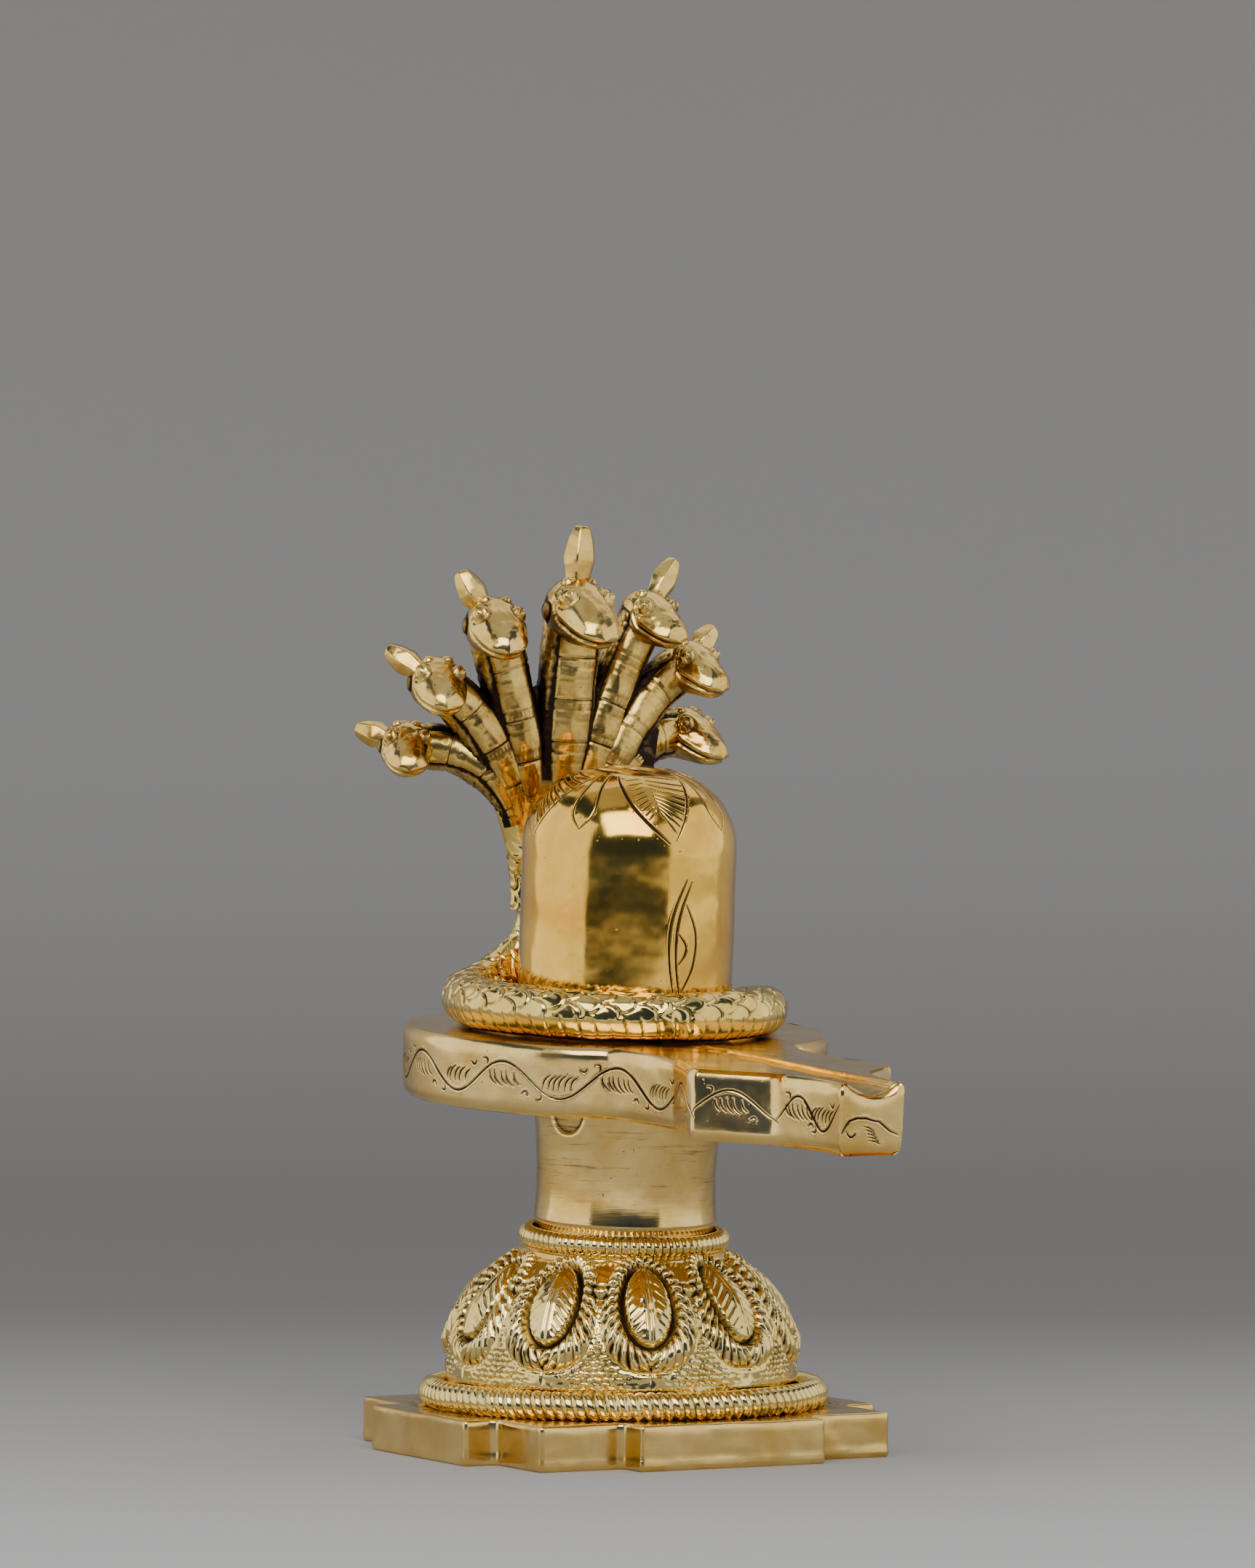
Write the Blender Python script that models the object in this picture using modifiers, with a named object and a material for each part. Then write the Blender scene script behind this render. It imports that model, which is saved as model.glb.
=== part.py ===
# Cast brass shiva lingam on a yoni plate, with a seven-headed serpent. Metres, +Z up, spout to -Y.
import bisect
import math

import bmesh
import bpy
from mathutils import Matrix, Vector

MM = 0.001

# Clearance between separately cast pieces
GAP = 0.3 * MM

# Foot plate
FOOT_HALF = 34.1 * MM
FOOT_STEP_HALF = 18.0 * MM
FOOT_STEP_OUT = 6.2 * MM
FOOT_THICK = 7.9 * MM
FOOT_EDGE = 0.5 * MM

# Rope ring at the foot of the dome
ROPE_RADIUS = 33.4 * MM
ROPE_THICK = 2.5 * MM
ROPE_SINK = 0.6 * MM

# Lotus dome
DOME_RADIUS = 30.5 * MM
DOME_ASIDE = -0.5 * MM
DOME_HEIGHT = 26.4 * MM
DOME_WALL_HEIGHT = 11.3 * MM
DOME_TOP_RADIUS = 18.4 * MM
DOME_SINK = 0.8 * MM
PETAL_COUNT = 10
PETAL_TURN = 18.0
PETAL_TOP = 24.6 * MM
PETAL_TIP = 7.2 * MM
PETAL_HALF_ANGLE = 15.0
PETAL_RELIEF = 0.9 * MM
PETAL_DEPTH = 1.6 * MM
BOSS_TOP = 24.2 * MM
BOSS_TIP = 12.6 * MM
BOSS_HALF_WIDTH = 4.1 * MM
BOSS_RELIEF = 1.5 * MM

# Neck with its own rope ring
COLLAR_RADIUS = 16.8 * MM
COLLAR_THICK = 1.7 * MM
COLLAR_RISE = 2.8 * MM
WAIST_RADIUS = 15.2 * MM
WAIST_RISE = 9.4 * MM
NECK_TOP_RADIUS = 16.7 * MM
NECK_HEIGHT = 26.3 * MM

# The casting above the dome leans toward the spout
LEAN_DEG = 3.4

# Yoni plate
YONI_THICK = 12.1 * MM
DISC_RADIUS = 37.4 * MM
DISC_BACK = 5.6 * MM
RIM_BARREL = 1.3 * MM
WAIST_HALF = 15.5 * MM
WAIST_REACH = 44.5 * MM
SHOULDER_HALF = 20.4 * MM
SHOULDER_REACH = 59.0 * MM
SPOUT_ROOT_HALF = 9.4 * MM
SPOUT_ROOT_REACH = 69.6 * MM
SPOUT_END_HALF = 6.4 * MM
SPOUT_REACH = 86.0 * MM
CHANNEL_WIDTH = 9.6 * MM
CHANNEL_DEPTH = 2.1 * MM
CHANNEL_START = 23.0 * MM
CHANNEL_START_WIDTH = 3.6 * MM
CHANNEL_START_DEPTH = 0.8 * MM

# Lingam
LINGAM_RADIUS = 18.7 * MM
LINGAM_BACK = 2.6 * MM
LINGAM_HEIGHT = 45.9 * MM
LINGAM_CROWN = 14.5 * MM
LINGAM_EDGE = 0.5 * MM

# Serpent
COIL_INNER = 22.1 * MM
COIL_HALF_WIDTH = 4.15 * MM
COIL_HALF_HEIGHT = 4.4 * MM
COIL_START_DEG = 318.0
COIL_END_DEG = 60.0
TAIL_SIZE = 0.28
NECK_BACK = 26.3 * MM
NECK_HALF_WIDTH = 10.6 * MM
NECK_HALF_THICK = 4.4 * MM
HOOD_HALF_WIDTH = 16.5 * MM
HOOD_RISE = 40.5 * MM
WEB_HALF_WIDTH = 18.2 * MM
WEB_HALF_THICK = 2.4 * MM
WEB_SIDE_RISE = 50.5 * MM
WEB_TOP_RISE = 60.0 * MM
NECK_RISE = 18.0 * MM
CLIMB_ALONG = 12.8 * MM
CLIMB_TURN_DEG = 60.0
CLIMB_DROP = 10.5 * MM
HEAD_RADIUS = 4.5 * MM
HEAD_REACH = 8.2 * MM
HEAD_DROOP_DEG = 21.0
THROAT_RADIUS = 4.4 * MM
CREST_RADIUS = 2.6 * MM
FAN_ROOT_RISE = 34.0 * MM
FAN_ROOT_HALF = 7.5 * MM
FAN_ROOT_ASIDE = -2.4 * MM

SIDES = 48


def make_collection(name):
    """Make a collection and link it to the scene."""
    group = bpy.data.collections.new(name)
    bpy.context.scene.collection.children.link(group)
    return group


def brass(name, colour, roughness):
    """Make the piece's own plain brass material."""
    material = bpy.data.materials.new(name)
    material.use_nodes = True
    shader = material.node_tree.nodes["Principled BSDF"]
    shader.inputs["Base Color"].default_value = colour
    shader.inputs["Metallic"].default_value = 1.0
    shader.inputs["Roughness"].default_value = roughness
    return material


def mesh_object(name, verts, faces, group):
    """Turn points and faces into an object with outward normals."""
    mesh = bpy.data.meshes.new(name)
    mesh.from_pydata([tuple(v) for v in verts], [], faces)
    shell = bmesh.new()
    shell.from_mesh(mesh)
    bmesh.ops.recalc_face_normals(shell, faces=shell.faces)
    shell.to_mesh(mesh)
    shell.free()
    obj = bpy.data.objects.new(name, mesh)
    group.objects.link(obj)
    return obj


def turned(name, profile, group):
    """Turn a profile of (radius, height) pairs, top to bottom, about Z."""
    edges = [(i, i + 1) for i in range(len(profile) - 1)]
    mesh = bpy.data.meshes.new(name)
    mesh.from_pydata([(r, 0.0, z) for r, z in profile], edges, [])
    obj = bpy.data.objects.new(name, mesh)
    group.objects.link(obj)
    screw = obj.modifiers.new("turn", "SCREW")
    screw.axis = "Z"
    screw.steps = SIDES
    screw.render_steps = SIDES
    screw.use_merge_vertices = True
    screw.merge_threshold = 0.00001
    screw.use_normal_calculate = True
    return obj


def stacked_loops(name, loops, group):
    """Close a stack of equal-length loops into one solid."""
    size = len(loops[0])
    verts = [point for loop in loops for point in loop]
    faces = [tuple(range(size))]
    for level in range(len(loops) - 1):
        low = level * size
        high = low + size
        for i in range(size):
            j = (i + 1) % size
            faces.append((low + i, low + j, high + j, high + i))
    last = (len(loops) - 1) * size
    faces.append(tuple(range(last + size - 1, last - 1, -1)))
    return mesh_object(name, verts, faces, group)


def combine(target, cutter, operation):
    """Add or cut with another solid by an exact Boolean."""
    mod = target.modifiers.new(operation.lower(), "BOOLEAN")
    mod.operation = operation
    mod.solver = "EXACT"
    mod.object = cutter
    cutter.hide_render = True
    cutter.display_type = "WIRE"


def between(stops, t):
    """Linear reading of a list of (position, value) stops."""
    places = [stop[0] for stop in stops]
    i = min(max(bisect.bisect_right(places, t), 1), len(stops) - 1)
    (t0, v0), (t1, v1) = stops[i - 1], stops[i]
    share = min(max((t - t0) / (t1 - t0), 0.0), 1.0)
    return v0 + (v1 - v0) * share


for old in list(bpy.data.objects):
    bpy.data.objects.remove(old, do_unlink=True)

model = make_collection("shiva_lingam")
cutters = make_collection("cutters")
cutters.hide_render = True

# Heights stacked from the floor
dome_base_z = FOOT_THICK
dome_top_z = dome_base_z + DOME_HEIGHT
neck_top_z = dome_top_z + NECK_HEIGHT
yoni_base_z = neck_top_z + GAP
yoni_top_z = yoni_base_z + YONI_THICK
seat_z = yoni_top_z + GAP

# Everything above the dome is built upright, then leaned about the dome's top
pivot = Vector((0.0, 0.0, dome_top_z))
turn = Matrix.Rotation(math.radians(LEAN_DEG), 4, "X")
lean = Matrix.Translation(pivot) @ turn @ Matrix.Translation(-pivot)

# Foot plate: a square with the middle of each side stepped out
foot_outline = []
for quarter in range(4):
    spin = Matrix.Rotation(math.radians(90.0 * quarter), 2)
    reach = FOOT_HALF + FOOT_STEP_OUT
    for x, y in (
        (-FOOT_HALF, -FOOT_HALF),
        (-FOOT_STEP_HALF, -FOOT_HALF),
        (-FOOT_STEP_HALF, -reach),
        (FOOT_STEP_HALF, -reach),
        (FOOT_STEP_HALF, -FOOT_HALF),
    ):
        foot_outline.append(spin @ Vector((x, y)))
foot_loops = [[(p.x, p.y, z) for p in foot_outline] for z in (0.0, FOOT_THICK)]
pedestal = stacked_loops("pedestal", foot_loops, model)
edge = pedestal.modifiers.new("edges", "BEVEL")
edge.width = FOOT_EDGE
edge.segments = 1
edge.limit_method = "ANGLE"


def dome_radius(z):
    """Radius of the plain dome at a height above the foot plate."""
    if z <= DOME_WALL_HEIGHT:
        return DOME_RADIUS
    rise = (z - DOME_WALL_HEIGHT) / (DOME_HEIGHT - DOME_WALL_HEIGHT)
    fall = DOME_RADIUS - DOME_TOP_RADIUS
    return DOME_RADIUS - fall * (0.35 * rise + 0.65 * rise ** 2.6)


dome_profile = [(0.0, dome_top_z)]
for i in range(8):
    z = DOME_HEIGHT + (DOME_WALL_HEIGHT - DOME_HEIGHT) * i / 7.0
    dome_profile.append((dome_radius(z), dome_base_z + z))
rope_z = dome_base_z + ROPE_THICK - 0.5 * ROPE_SINK
dome_profile.append((DOME_RADIUS, rope_z + 0.9 * ROPE_THICK))
for i in range(7):
    angle = math.radians(105.0 - 35.0 * i)
    r = ROPE_RADIUS + ROPE_THICK * math.cos(angle)
    dome_profile.append((r, rope_z + ROPE_THICK * math.sin(angle)))
dome_profile.append((dome_profile[-1][0], dome_base_z - ROPE_SINK))
dome_profile.append((0.0, dome_base_z - ROPE_SINK))
dome = turned("dome", dome_profile, cutters)
dome.location.x = DOME_ASIDE
combine(pedestal, dome, "UNION")


def petal_half_angle(share):
    """Half the angle a petal spans, from its top (0) to its tip (1)."""
    body = math.sqrt(max(1.0 - share ** 5, 0.0))
    return PETAL_HALF_ANGLE * (0.86 * body + 0.14 * (1.0 - share))


def on_dome(angle, z, lift):
    """Point over the dome's skin."""
    r = dome_radius(z) + lift
    return Vector((r * math.sin(angle), -r * math.cos(angle), dome_base_z + z))


petal_verts = []
petal_faces = []
boss_verts = []
boss_faces = []
ACROSS = 6
DOWN = 6
for petal in range(PETAL_COUNT):
    middle = math.radians(PETAL_TURN + 360.0 * petal / PETAL_COUNT)
    base = len(petal_verts)
    for skin in (0, 1):
        for row in range(DOWN + 1):
            share = row / DOWN
            half = math.radians(petal_half_angle(min(share, 0.985)))
            for col in range(ACROSS + 1):
                across = 2.0 * col / ACROSS - 1.0
                bow = (PETAL_TOP - PETAL_TIP) * 0.12 * across * across * share
                z = PETAL_TOP + (PETAL_TIP - PETAL_TOP) * share + bow
                edge_fall = 1.0 - abs(across) ** 4
                lift = PETAL_RELIEF * (0.35 + 0.65 * edge_fall) if skin else -PETAL_DEPTH
                petal_verts.append(on_dome(middle + half * across, z, lift))
    row_size = ACROSS + 1
    skin_size = row_size * (DOWN + 1)
    for row in range(DOWN):
        for col in range(ACROSS):
            a = base + row * row_size + col
            inner = (a, a + 1, a + row_size + 1, a + row_size)
            petal_faces.append(inner)
            petal_faces.append(tuple(v + skin_size for v in reversed(inner)))
    ring = [base + c for c in range(ACROSS)]
    ring += [base + r * row_size + ACROSS for r in range(DOWN)]
    ring += [base + DOWN * row_size + c for c in range(ACROSS, 0, -1)]
    ring += [base + r * row_size for r in range(DOWN, 0, -1)]
    for i, a in enumerate(ring):
        b = ring[(i + 1) % len(ring)]
        petal_faces.append((a, b, b + skin_size, a + skin_size))
petals = mesh_object("petals", petal_verts, petal_faces, cutters)
petals.location.x = DOME_ASIDE

BOSS_SIDES = 10
for petal in range(PETAL_COUNT):
    middle = math.radians(PETAL_TURN + 360.0 * petal / PETAL_COUNT)
    centre_z = (BOSS_TOP + BOSS_TIP) / 2.0
    half_height = (BOSS_TOP - BOSS_TIP) / 2.0
    base = len(boss_verts)
    for lift_share, size in ((-1.0, 0.9), (0.45, 1.0), (0.85, 0.72), (1.0, 0.3)):
        for i in range(BOSS_SIDES):
            a = 2.0 * math.pi * i / BOSS_SIDES
            z = centre_z + half_height * size * math.cos(a)
            turned_by = BOSS_HALF_WIDTH * size * math.sin(a) / dome_radius(z)
            lift = PETAL_RELIEF + BOSS_RELIEF * lift_share * 0.6
            boss_verts.append(on_dome(middle + turned_by, z, lift))
    boss_faces.append(tuple(range(base, base + BOSS_SIDES)))
    for level in range(3):
        low = base + level * BOSS_SIDES
        for i in range(BOSS_SIDES):
            j = (i + 1) % BOSS_SIDES
            boss_faces.append((low + i, low + j, low + BOSS_SIDES + j, low + BOSS_SIDES + i))
    top = base + 3 * BOSS_SIDES
    boss_faces.append(tuple(range(top + BOSS_SIDES - 1, top - 1, -1)))
bosses = mesh_object("bosses", boss_verts, boss_faces, cutters)
bosses.location.x = DOME_ASIDE

# Neck: a waisted stem with a rope collar, sunk a little into the dome
neck_profile = [(0.0, neck_top_z), (NECK_TOP_RADIUS, neck_top_z)]
collar_z = dome_top_z + COLLAR_RISE
waist_z = dome_top_z + WAIST_RISE
for i in range(1, 6):
    share = i / 5.0
    swell = (NECK_TOP_RADIUS - WAIST_RADIUS) * (1.0 - share) ** 1.7
    neck_profile.append((WAIST_RADIUS + swell, neck_top_z + (waist_z - neck_top_z) * share))
neck_profile.append((WAIST_RADIUS + 0.3 * MM, collar_z + 1.15 * COLLAR_THICK))
for angle in (80.0, 40.0, 0.0, -40.0):
    r = COLLAR_RADIUS + COLLAR_THICK * math.cos(math.radians(angle))
    neck_profile.append((r, collar_z + COLLAR_THICK * math.sin(math.radians(angle))))
lip_z = collar_z - 0.9 * COLLAR_THICK
neck_profile.append((DOME_TOP_RADIUS + 0.2 * MM, lip_z))
neck_profile.append((DOME_TOP_RADIUS + 0.2 * MM, dome_top_z - DOME_SINK - 1.2 * MM))
neck_profile.append((0.0, dome_top_z - DOME_SINK - 1.2 * MM))
neck = turned("neck", neck_profile, cutters)
neck.matrix_world = lean
combine(pedestal, neck, "UNION")
combine(pedestal, petals, "UNION")
combine(pedestal, bosses, "UNION")

# Yoni plate: half outline from the back of the disc to the spout's end
half_outline = []
flare_deg = 148.0
for i in range(22):
    a = math.radians(flare_deg * i / 21.0)
    half_outline.append((DISC_RADIUS * math.sin(a), DISC_BACK + DISC_RADIUS * math.cos(a)))
leave_x, leave_y = half_outline[-1]
for i in range(1, 5):
    share = i / 4.0
    x = leave_x + (WAIST_HALF - leave_x) * math.sin(share * math.pi / 2.0)
    y = leave_y + (-WAIST_REACH - leave_y) * (1.0 - math.cos(share * math.pi / 2.0))
    half_outline.append((x, y))
half_outline.append((SHOULDER_HALF - 0.8 * MM, -SHOULDER_REACH + 1.6 * MM))
half_outline.append((SHOULDER_HALF - 0.3 * MM, -SHOULDER_REACH + 0.3 * MM))
half_outline.append((SHOULDER_HALF - 1.5 * MM, -SHOULDER_REACH - 1.0 * MM))
half_outline.append((SPOUT_ROOT_HALF + 0.3 * MM, -SPOUT_ROOT_REACH + 0.3 * MM))
for i in range(1, 7):
    share = i / 6.0
    x = SPOUT_ROOT_HALF + (SPOUT_END_HALF - SPOUT_ROOT_HALF) * share
    x -= 0.9 * MM * math.sin(share * math.pi)
    half_outline.append((x, -SPOUT_ROOT_REACH + (SPOUT_ROOT_REACH - SPOUT_REACH) * share))
yoni_outline = half_outline + [(-x, y) for x, y in reversed(half_outline[1:])]


def inset(outline, distance):
    """Move a closed outline inward along its own normals."""
    moved = []
    count = len(outline)
    for i in range(count):
        before = Vector(outline[i - 1])
        here = Vector(outline[i])
        after = Vector(outline[(i + 1) % count])
        along = ((here - before).normalized() + (after - here).normalized()).normalized()
        inward = Vector((along.y, -along.x))
        moved.append(here + inward * distance)
    return moved


yoni_loops = []
for share, depth in ((0.0, 1.3), (0.1, 0.5), (0.3, 0.1), (0.55, 0.0), (0.8, 0.15), (0.93, 0.55),
                     (1.0, 1.25)):
    ring = inset(yoni_outline, RIM_BARREL * depth)
    yoni_loops.append([(p.x, p.y, yoni_base_z + YONI_THICK * share) for p in ring])
yoni_plate = stacked_loops("yoni_plate", yoni_loops, model)
yoni_plate.matrix_world = lean


def groove(width, depth):
    """Radius of a round groove, and its centre's height over the surface."""
    r = (width * width / 4.0 + depth * depth) / (2.0 * depth)
    return r, r - depth


start_r, start_up = groove(CHANNEL_START_WIDTH, CHANNEL_START_DEPTH)
end_r, end_up = groove(CHANNEL_WIDTH, CHANNEL_DEPTH)
past = 4.0 * MM
run = SPOUT_REACH - CHANNEL_START
grow = 1.0 + past / run
end_loop = []
start_loop = []
for i in range(24):
    a = 2.0 * math.pi * i / 24
    far_r = start_r + (end_r - start_r) * grow
    far_up = start_up + (end_up - start_up) * grow
    far_y = -SPOUT_REACH - past
    start_loop.append((start_r * math.sin(a), -CHANNEL_START, yoni_top_z + start_up + start_r * math.cos(a)))
    end_loop.append((far_r * math.sin(a), far_y, yoni_top_z + far_up + far_r * math.cos(a)))
channel = stacked_loops("channel", [start_loop, end_loop], cutters)
channel.matrix_world = lean
combine(yoni_plate, channel, "DIFFERENCE")

# Lingam: a pillar with a full crown
lingam_top_z = seat_z + LINGAM_HEIGHT
crown_z = lingam_top_z - LINGAM_CROWN
lingam_profile = []
for i in range(9):
    a = math.radians(90.0 * i / 8.0)
    r = LINGAM_RADIUS * math.sin(a) ** 0.8
    lingam_profile.append((r, crown_z + LINGAM_CROWN * math.cos(a) ** 0.92))
lingam_profile[-1] = (LINGAM_RADIUS, crown_z)
lingam_profile.append((LINGAM_RADIUS, seat_z + LINGAM_EDGE))
lingam_profile.append((LINGAM_RADIUS - LINGAM_EDGE, seat_z))
lingam_profile.append((0.0, seat_z))
lingam = turned("lingam", lingam_profile, model)
lingam.matrix_world = lean @ Matrix.Translation((0.0, LINGAM_BACK, 0.0))

# Serpent: one swept body from the tail, round the coil and up into the neck
coil_r = COIL_INNER + COIL_HALF_WIDTH
coil_z = seat_z + COIL_HALF_HEIGHT


def coil_point(degrees, rise):
    """Point on the coil's centre line; 0 is the back, 90 the left."""
    a = math.radians(degrees)
    return Vector((-coil_r * math.sin(a), DISC_BACK + coil_r * math.cos(a), coil_z + rise))


def bezier(points, t):
    """Point on a cubic curve through its four handles."""
    s = 1.0 - t
    a, b, c, d = points
    return a * s ** 3 + b * 3.0 * s * s * t + c * 3.0 * s * t * t + d * t ** 3


neck_foot = coil_point(COIL_END_DEG, 0.0)
neck_rise = Vector((0.0, NECK_BACK, seat_z + NECK_RISE))
climb_turn = math.radians(CLIMB_TURN_DEG)
climb = (
    neck_foot,
    neck_foot + Vector((math.cos(climb_turn), math.sin(climb_turn), 0.0)) * CLIMB_ALONG,
    neck_rise + Vector((-0.15, 0.11, -1.0)) * CLIMB_DROP,
    neck_rise,
)
path = []
for i in range(24):
    degrees = COIL_START_DEG + (COIL_END_DEG - COIL_START_DEG) * i / 23.0
    shrink = between([(0.0, TAIL_SIZE), (0.2, 0.8), (0.34, 0.95), (0.8, 1.0), (1.0, 1.06)], i / 23.0)
    drop = -COIL_HALF_HEIGHT * (1.0 - shrink)
    path.append((coil_point(degrees, drop), COIL_HALF_WIDTH * shrink, COIL_HALF_HEIGHT * shrink))
for i in range(1, 8):
    share = i / 7.0
    wide = COIL_HALF_HEIGHT + (NECK_HALF_WIDTH - COIL_HALF_HEIGHT) * share ** 2
    thick = COIL_HALF_WIDTH + (NECK_HALF_THICK - COIL_HALF_WIDTH) * share
    path.append((bezier(climb, share), thick, wide))
hood_top = Vector((0.0, NECK_BACK, seat_z + HOOD_RISE))
for i in range(1, 7):
    share = i / 6.0
    wide = NECK_HALF_WIDTH + (HOOD_HALF_WIDTH - NECK_HALF_WIDTH) * share ** 2.2
    path.append((neck_rise.lerp(hood_top, share), NECK_HALF_THICK * (1.0 - 0.12 * share), wide))
for i in range(1, 4):
    share = i / 3.0
    lift = (WEB_SIDE_RISE - HOOD_RISE) * share
    wide = HOOD_HALF_WIDTH + (WEB_HALF_WIDTH - HOOD_HALF_WIDTH) * share
    thick = NECK_HALF_THICK * 0.88 + (WEB_HALF_THICK - NECK_HALF_THICK * 0.88) * share
    path.append((hood_top + Vector((0.0, 0.0, lift)), thick, wide))
# The web's top edge is an arch between the throats
for i in range(1, 6):
    share = i / 5.0
    lift = WEB_SIDE_RISE - HOOD_RISE + (WEB_TOP_RISE - WEB_SIDE_RISE) * share
    wide = WEB_HALF_WIDTH * math.sqrt(1.0 - 0.98 * share)
    path.append((hood_top + Vector((0.0, 0.0, lift)), WEB_HALF_THICK * (1.0 - 0.35 * share), wide))

body_loops = []
for i, (centre, thick, wide) in enumerate(path):
    before = path[max(i - 1, 0)][0]
    after = path[min(i + 1, len(path) - 1)][0]
    along = (after - before).normalized()
    outward = Vector((centre.x, centre.y - DISC_BACK, 0.0))
    if i >= 24:
        outward = Vector((centre.x * 0.5, centre.y - DISC_BACK, 0.0))
    outward = (outward - along * outward.dot(along)).normalized()
    sideways = along.cross(outward)
    loop = []
    for k in range(12):
        a = 2.0 * math.pi * (k + 0.5) / 12
        loop.append(centre + outward * (thick * math.cos(a)) + sideways * (wide * math.sin(a)))
    body_loops.append(loop)
naga = stacked_loops("naga", body_loops, model)
naga.matrix_world = lean

# Seven heads in millimetres: centre from the axis and the seat, share of the fan's root,
# where the throat arrives from, the crest's lean, the turn outward in degrees, and size
fan = [
    ("middle", (-1.3, 23.3, 71.8), 0.0, (-0.3, 1.5, -8.0), (1.3, 0.6, 14.9), 0.0, 1.22),
    ("far_left", (-28.6, 33.6, 47.2), -1.0, (9.5, -2.5, 0.6), (-6.9, 6.0, 3.0), -22.0, 0.95),
    ("far_right", (26.1, 33.6, 49.4), 1.0, (-9.5, -2.5, 0.6), (6.9, 6.0, 3.0), 22.0, 1.0),
    ("outer_left", (-25.9, 28.0, 58.6), -0.74, (6.5, 0.0, -3.2), (-6.7, 6.0, 5.8), -14.0, 1.0),
    ("outer_right", (23.6, 28.0, 61.8), 0.74, (-9.0, 0.0, -4.2), (7.4, 3.2, 6.6), 14.0, 1.0),
    ("inner_left", (-15.9, 26.2, 68.9), -0.46, (2.6, 1.2, -7.4), (-5.5, 2.6, 9.4), -11.0, 1.08),
    ("inner_right", (14.2, 26.2, 70.6), 0.46, (-4.6, 1.2, -7.2), (7.1, 2.6, 10.0), 11.0, 1.0),
]

head_verts = []
head_faces = []
crest_verts = []
crest_faces = []
droop = math.radians(HEAD_DROOP_DEG)


def add_loops(verts, faces, loops):
    """Append a closed stack of loops to a point and face list."""
    base = len(verts)
    size = len(loops[0])
    for loop in loops:
        verts.extend(loop)
    faces.append(tuple(range(base, base + size)))
    for level in range(len(loops) - 1):
        low = base + level * size
        for i in range(size):
            j = (i + 1) % size
            faces.append((low + i, low + j, low + size + j, low + size + i))
    last = base + (len(loops) - 1) * size
    faces.append(tuple(range(last + size - 1, last - 1, -1)))


for name, place, root, arrive, crest, turn_deg, size in fan:
    turn = math.radians(turn_deg)
    centre = Vector((0.0, 0.0, seat_z)) + Vector(place) * MM
    nose_way = Vector((math.sin(turn), -math.cos(turn), 0.0)) * math.cos(droop)
    nose_way.z = -math.sin(droop)
    r = HEAD_RADIUS * size
    reach = HEAD_REACH * size
    foot = Vector((FAN_ROOT_ASIDE + root * FAN_ROOT_HALF, NECK_BACK, seat_z + FAN_ROOT_RISE))
    # Throat: a tapered tube from inside the hood to the back of the head
    throat_points = (
        foot,
        foot + Vector((place[0] * 0.14, 0.0, 12.0)) * MM,
        centre + Vector(arrive) * MM,
        centre,
    )
    line = bpy.data.curves.new("throat_" + name, "CURVE")
    line.dimensions = "3D"
    line.bevel_depth = THROAT_RADIUS
    line.bevel_resolution = 2
    line.use_fill_caps = True
    spline = line.splines.new("POLY")
    spline.points.add(6)
    for k in range(7):
        p = bezier(throat_points, k / 6.0)
        spline.points[k].co = (p.x, p.y, p.z, 1.0)
        spline.points[k].radius = (0.92 + 0.08 * k / 6.0) * size
    helper = bpy.data.objects.new("throat_helper", line)
    cutters.objects.link(helper)
    bpy.context.view_layer.update()
    tube_mesh = bpy.data.meshes.new_from_object(helper.evaluated_get(bpy.context.evaluated_depsgraph_get()))
    bpy.data.objects.remove(helper, do_unlink=True)
    shell = bmesh.new()
    shell.from_mesh(tube_mesh)
    bmesh.ops.remove_doubles(shell, verts=shell.verts, dist=0.00001)
    bmesh.ops.recalc_face_normals(shell, faces=shell.faces)
    shell.to_mesh(tube_mesh)
    shell.free()
    throat = bpy.data.objects.new("throat_" + name, tube_mesh)
    cutters.objects.link(throat)
    throat.matrix_world = lean
    combine(naga, throat, "UNION")

    # Head: egg-shaped loops along the nose, wider at the eyes
    side = Vector((math.cos(turn), math.sin(turn), 0.0))
    over = side.cross(nose_way)
    if over.z < 0.0:
        over = -over
    loops = []
    for t, wide, tall in ((-0.55, 0.45, 0.45), (-0.4, 0.85, 0.85), (0.0, 1.05, 1.0), (0.45, 0.98, 0.9),
                          (0.85, 0.85, 0.72), (1.15, 0.62, 0.5), (1.3, 0.3, 0.28)):
        middle = centre + nose_way * (reach * t)
        loop = []
        for k in range(10):
            a = 2.0 * math.pi * k / 10
            loop.append(middle + side * (r * wide * math.cos(a)) + over * (r * tall * math.sin(a)))
        loops.append(loop)
    add_loops(head_verts, head_faces, loops)

    # Crest: a faceted flame leaning back from the crown
    tip = centre + Vector(crest) * MM
    rise = (tip - centre).normalized()
    cross = rise.cross(Vector((0.0, 1.0, 0.0))).normalized()
    deep = rise.cross(cross).normalized()
    height = (tip - centre).length
    loops = []
    for t, width in ((0.1, 0.8), (0.44, 0.8), (0.6, 1.0), (0.82, 0.82), (0.96, 0.56), (1.0, 0.4)):
        middle = centre + rise * (height * t)
        loop = []
        for k in range(6):
            a = 2.0 * math.pi * k / 6
            spread = CREST_RADIUS * size * width
            loop.append(middle + cross * (spread * math.cos(a)) + deep * (spread * 0.8 * math.sin(a)))
        loops.append(loop)
    add_loops(crest_verts, crest_faces, loops)

all_heads = mesh_object("heads", head_verts, head_faces, cutters)
all_heads.matrix_world = lean
combine(naga, all_heads, "UNION")
crests = mesh_object("crests", crest_verts, crest_faces, cutters)
crests.matrix_world = lean
combine(naga, crests, "UNION")

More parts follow.
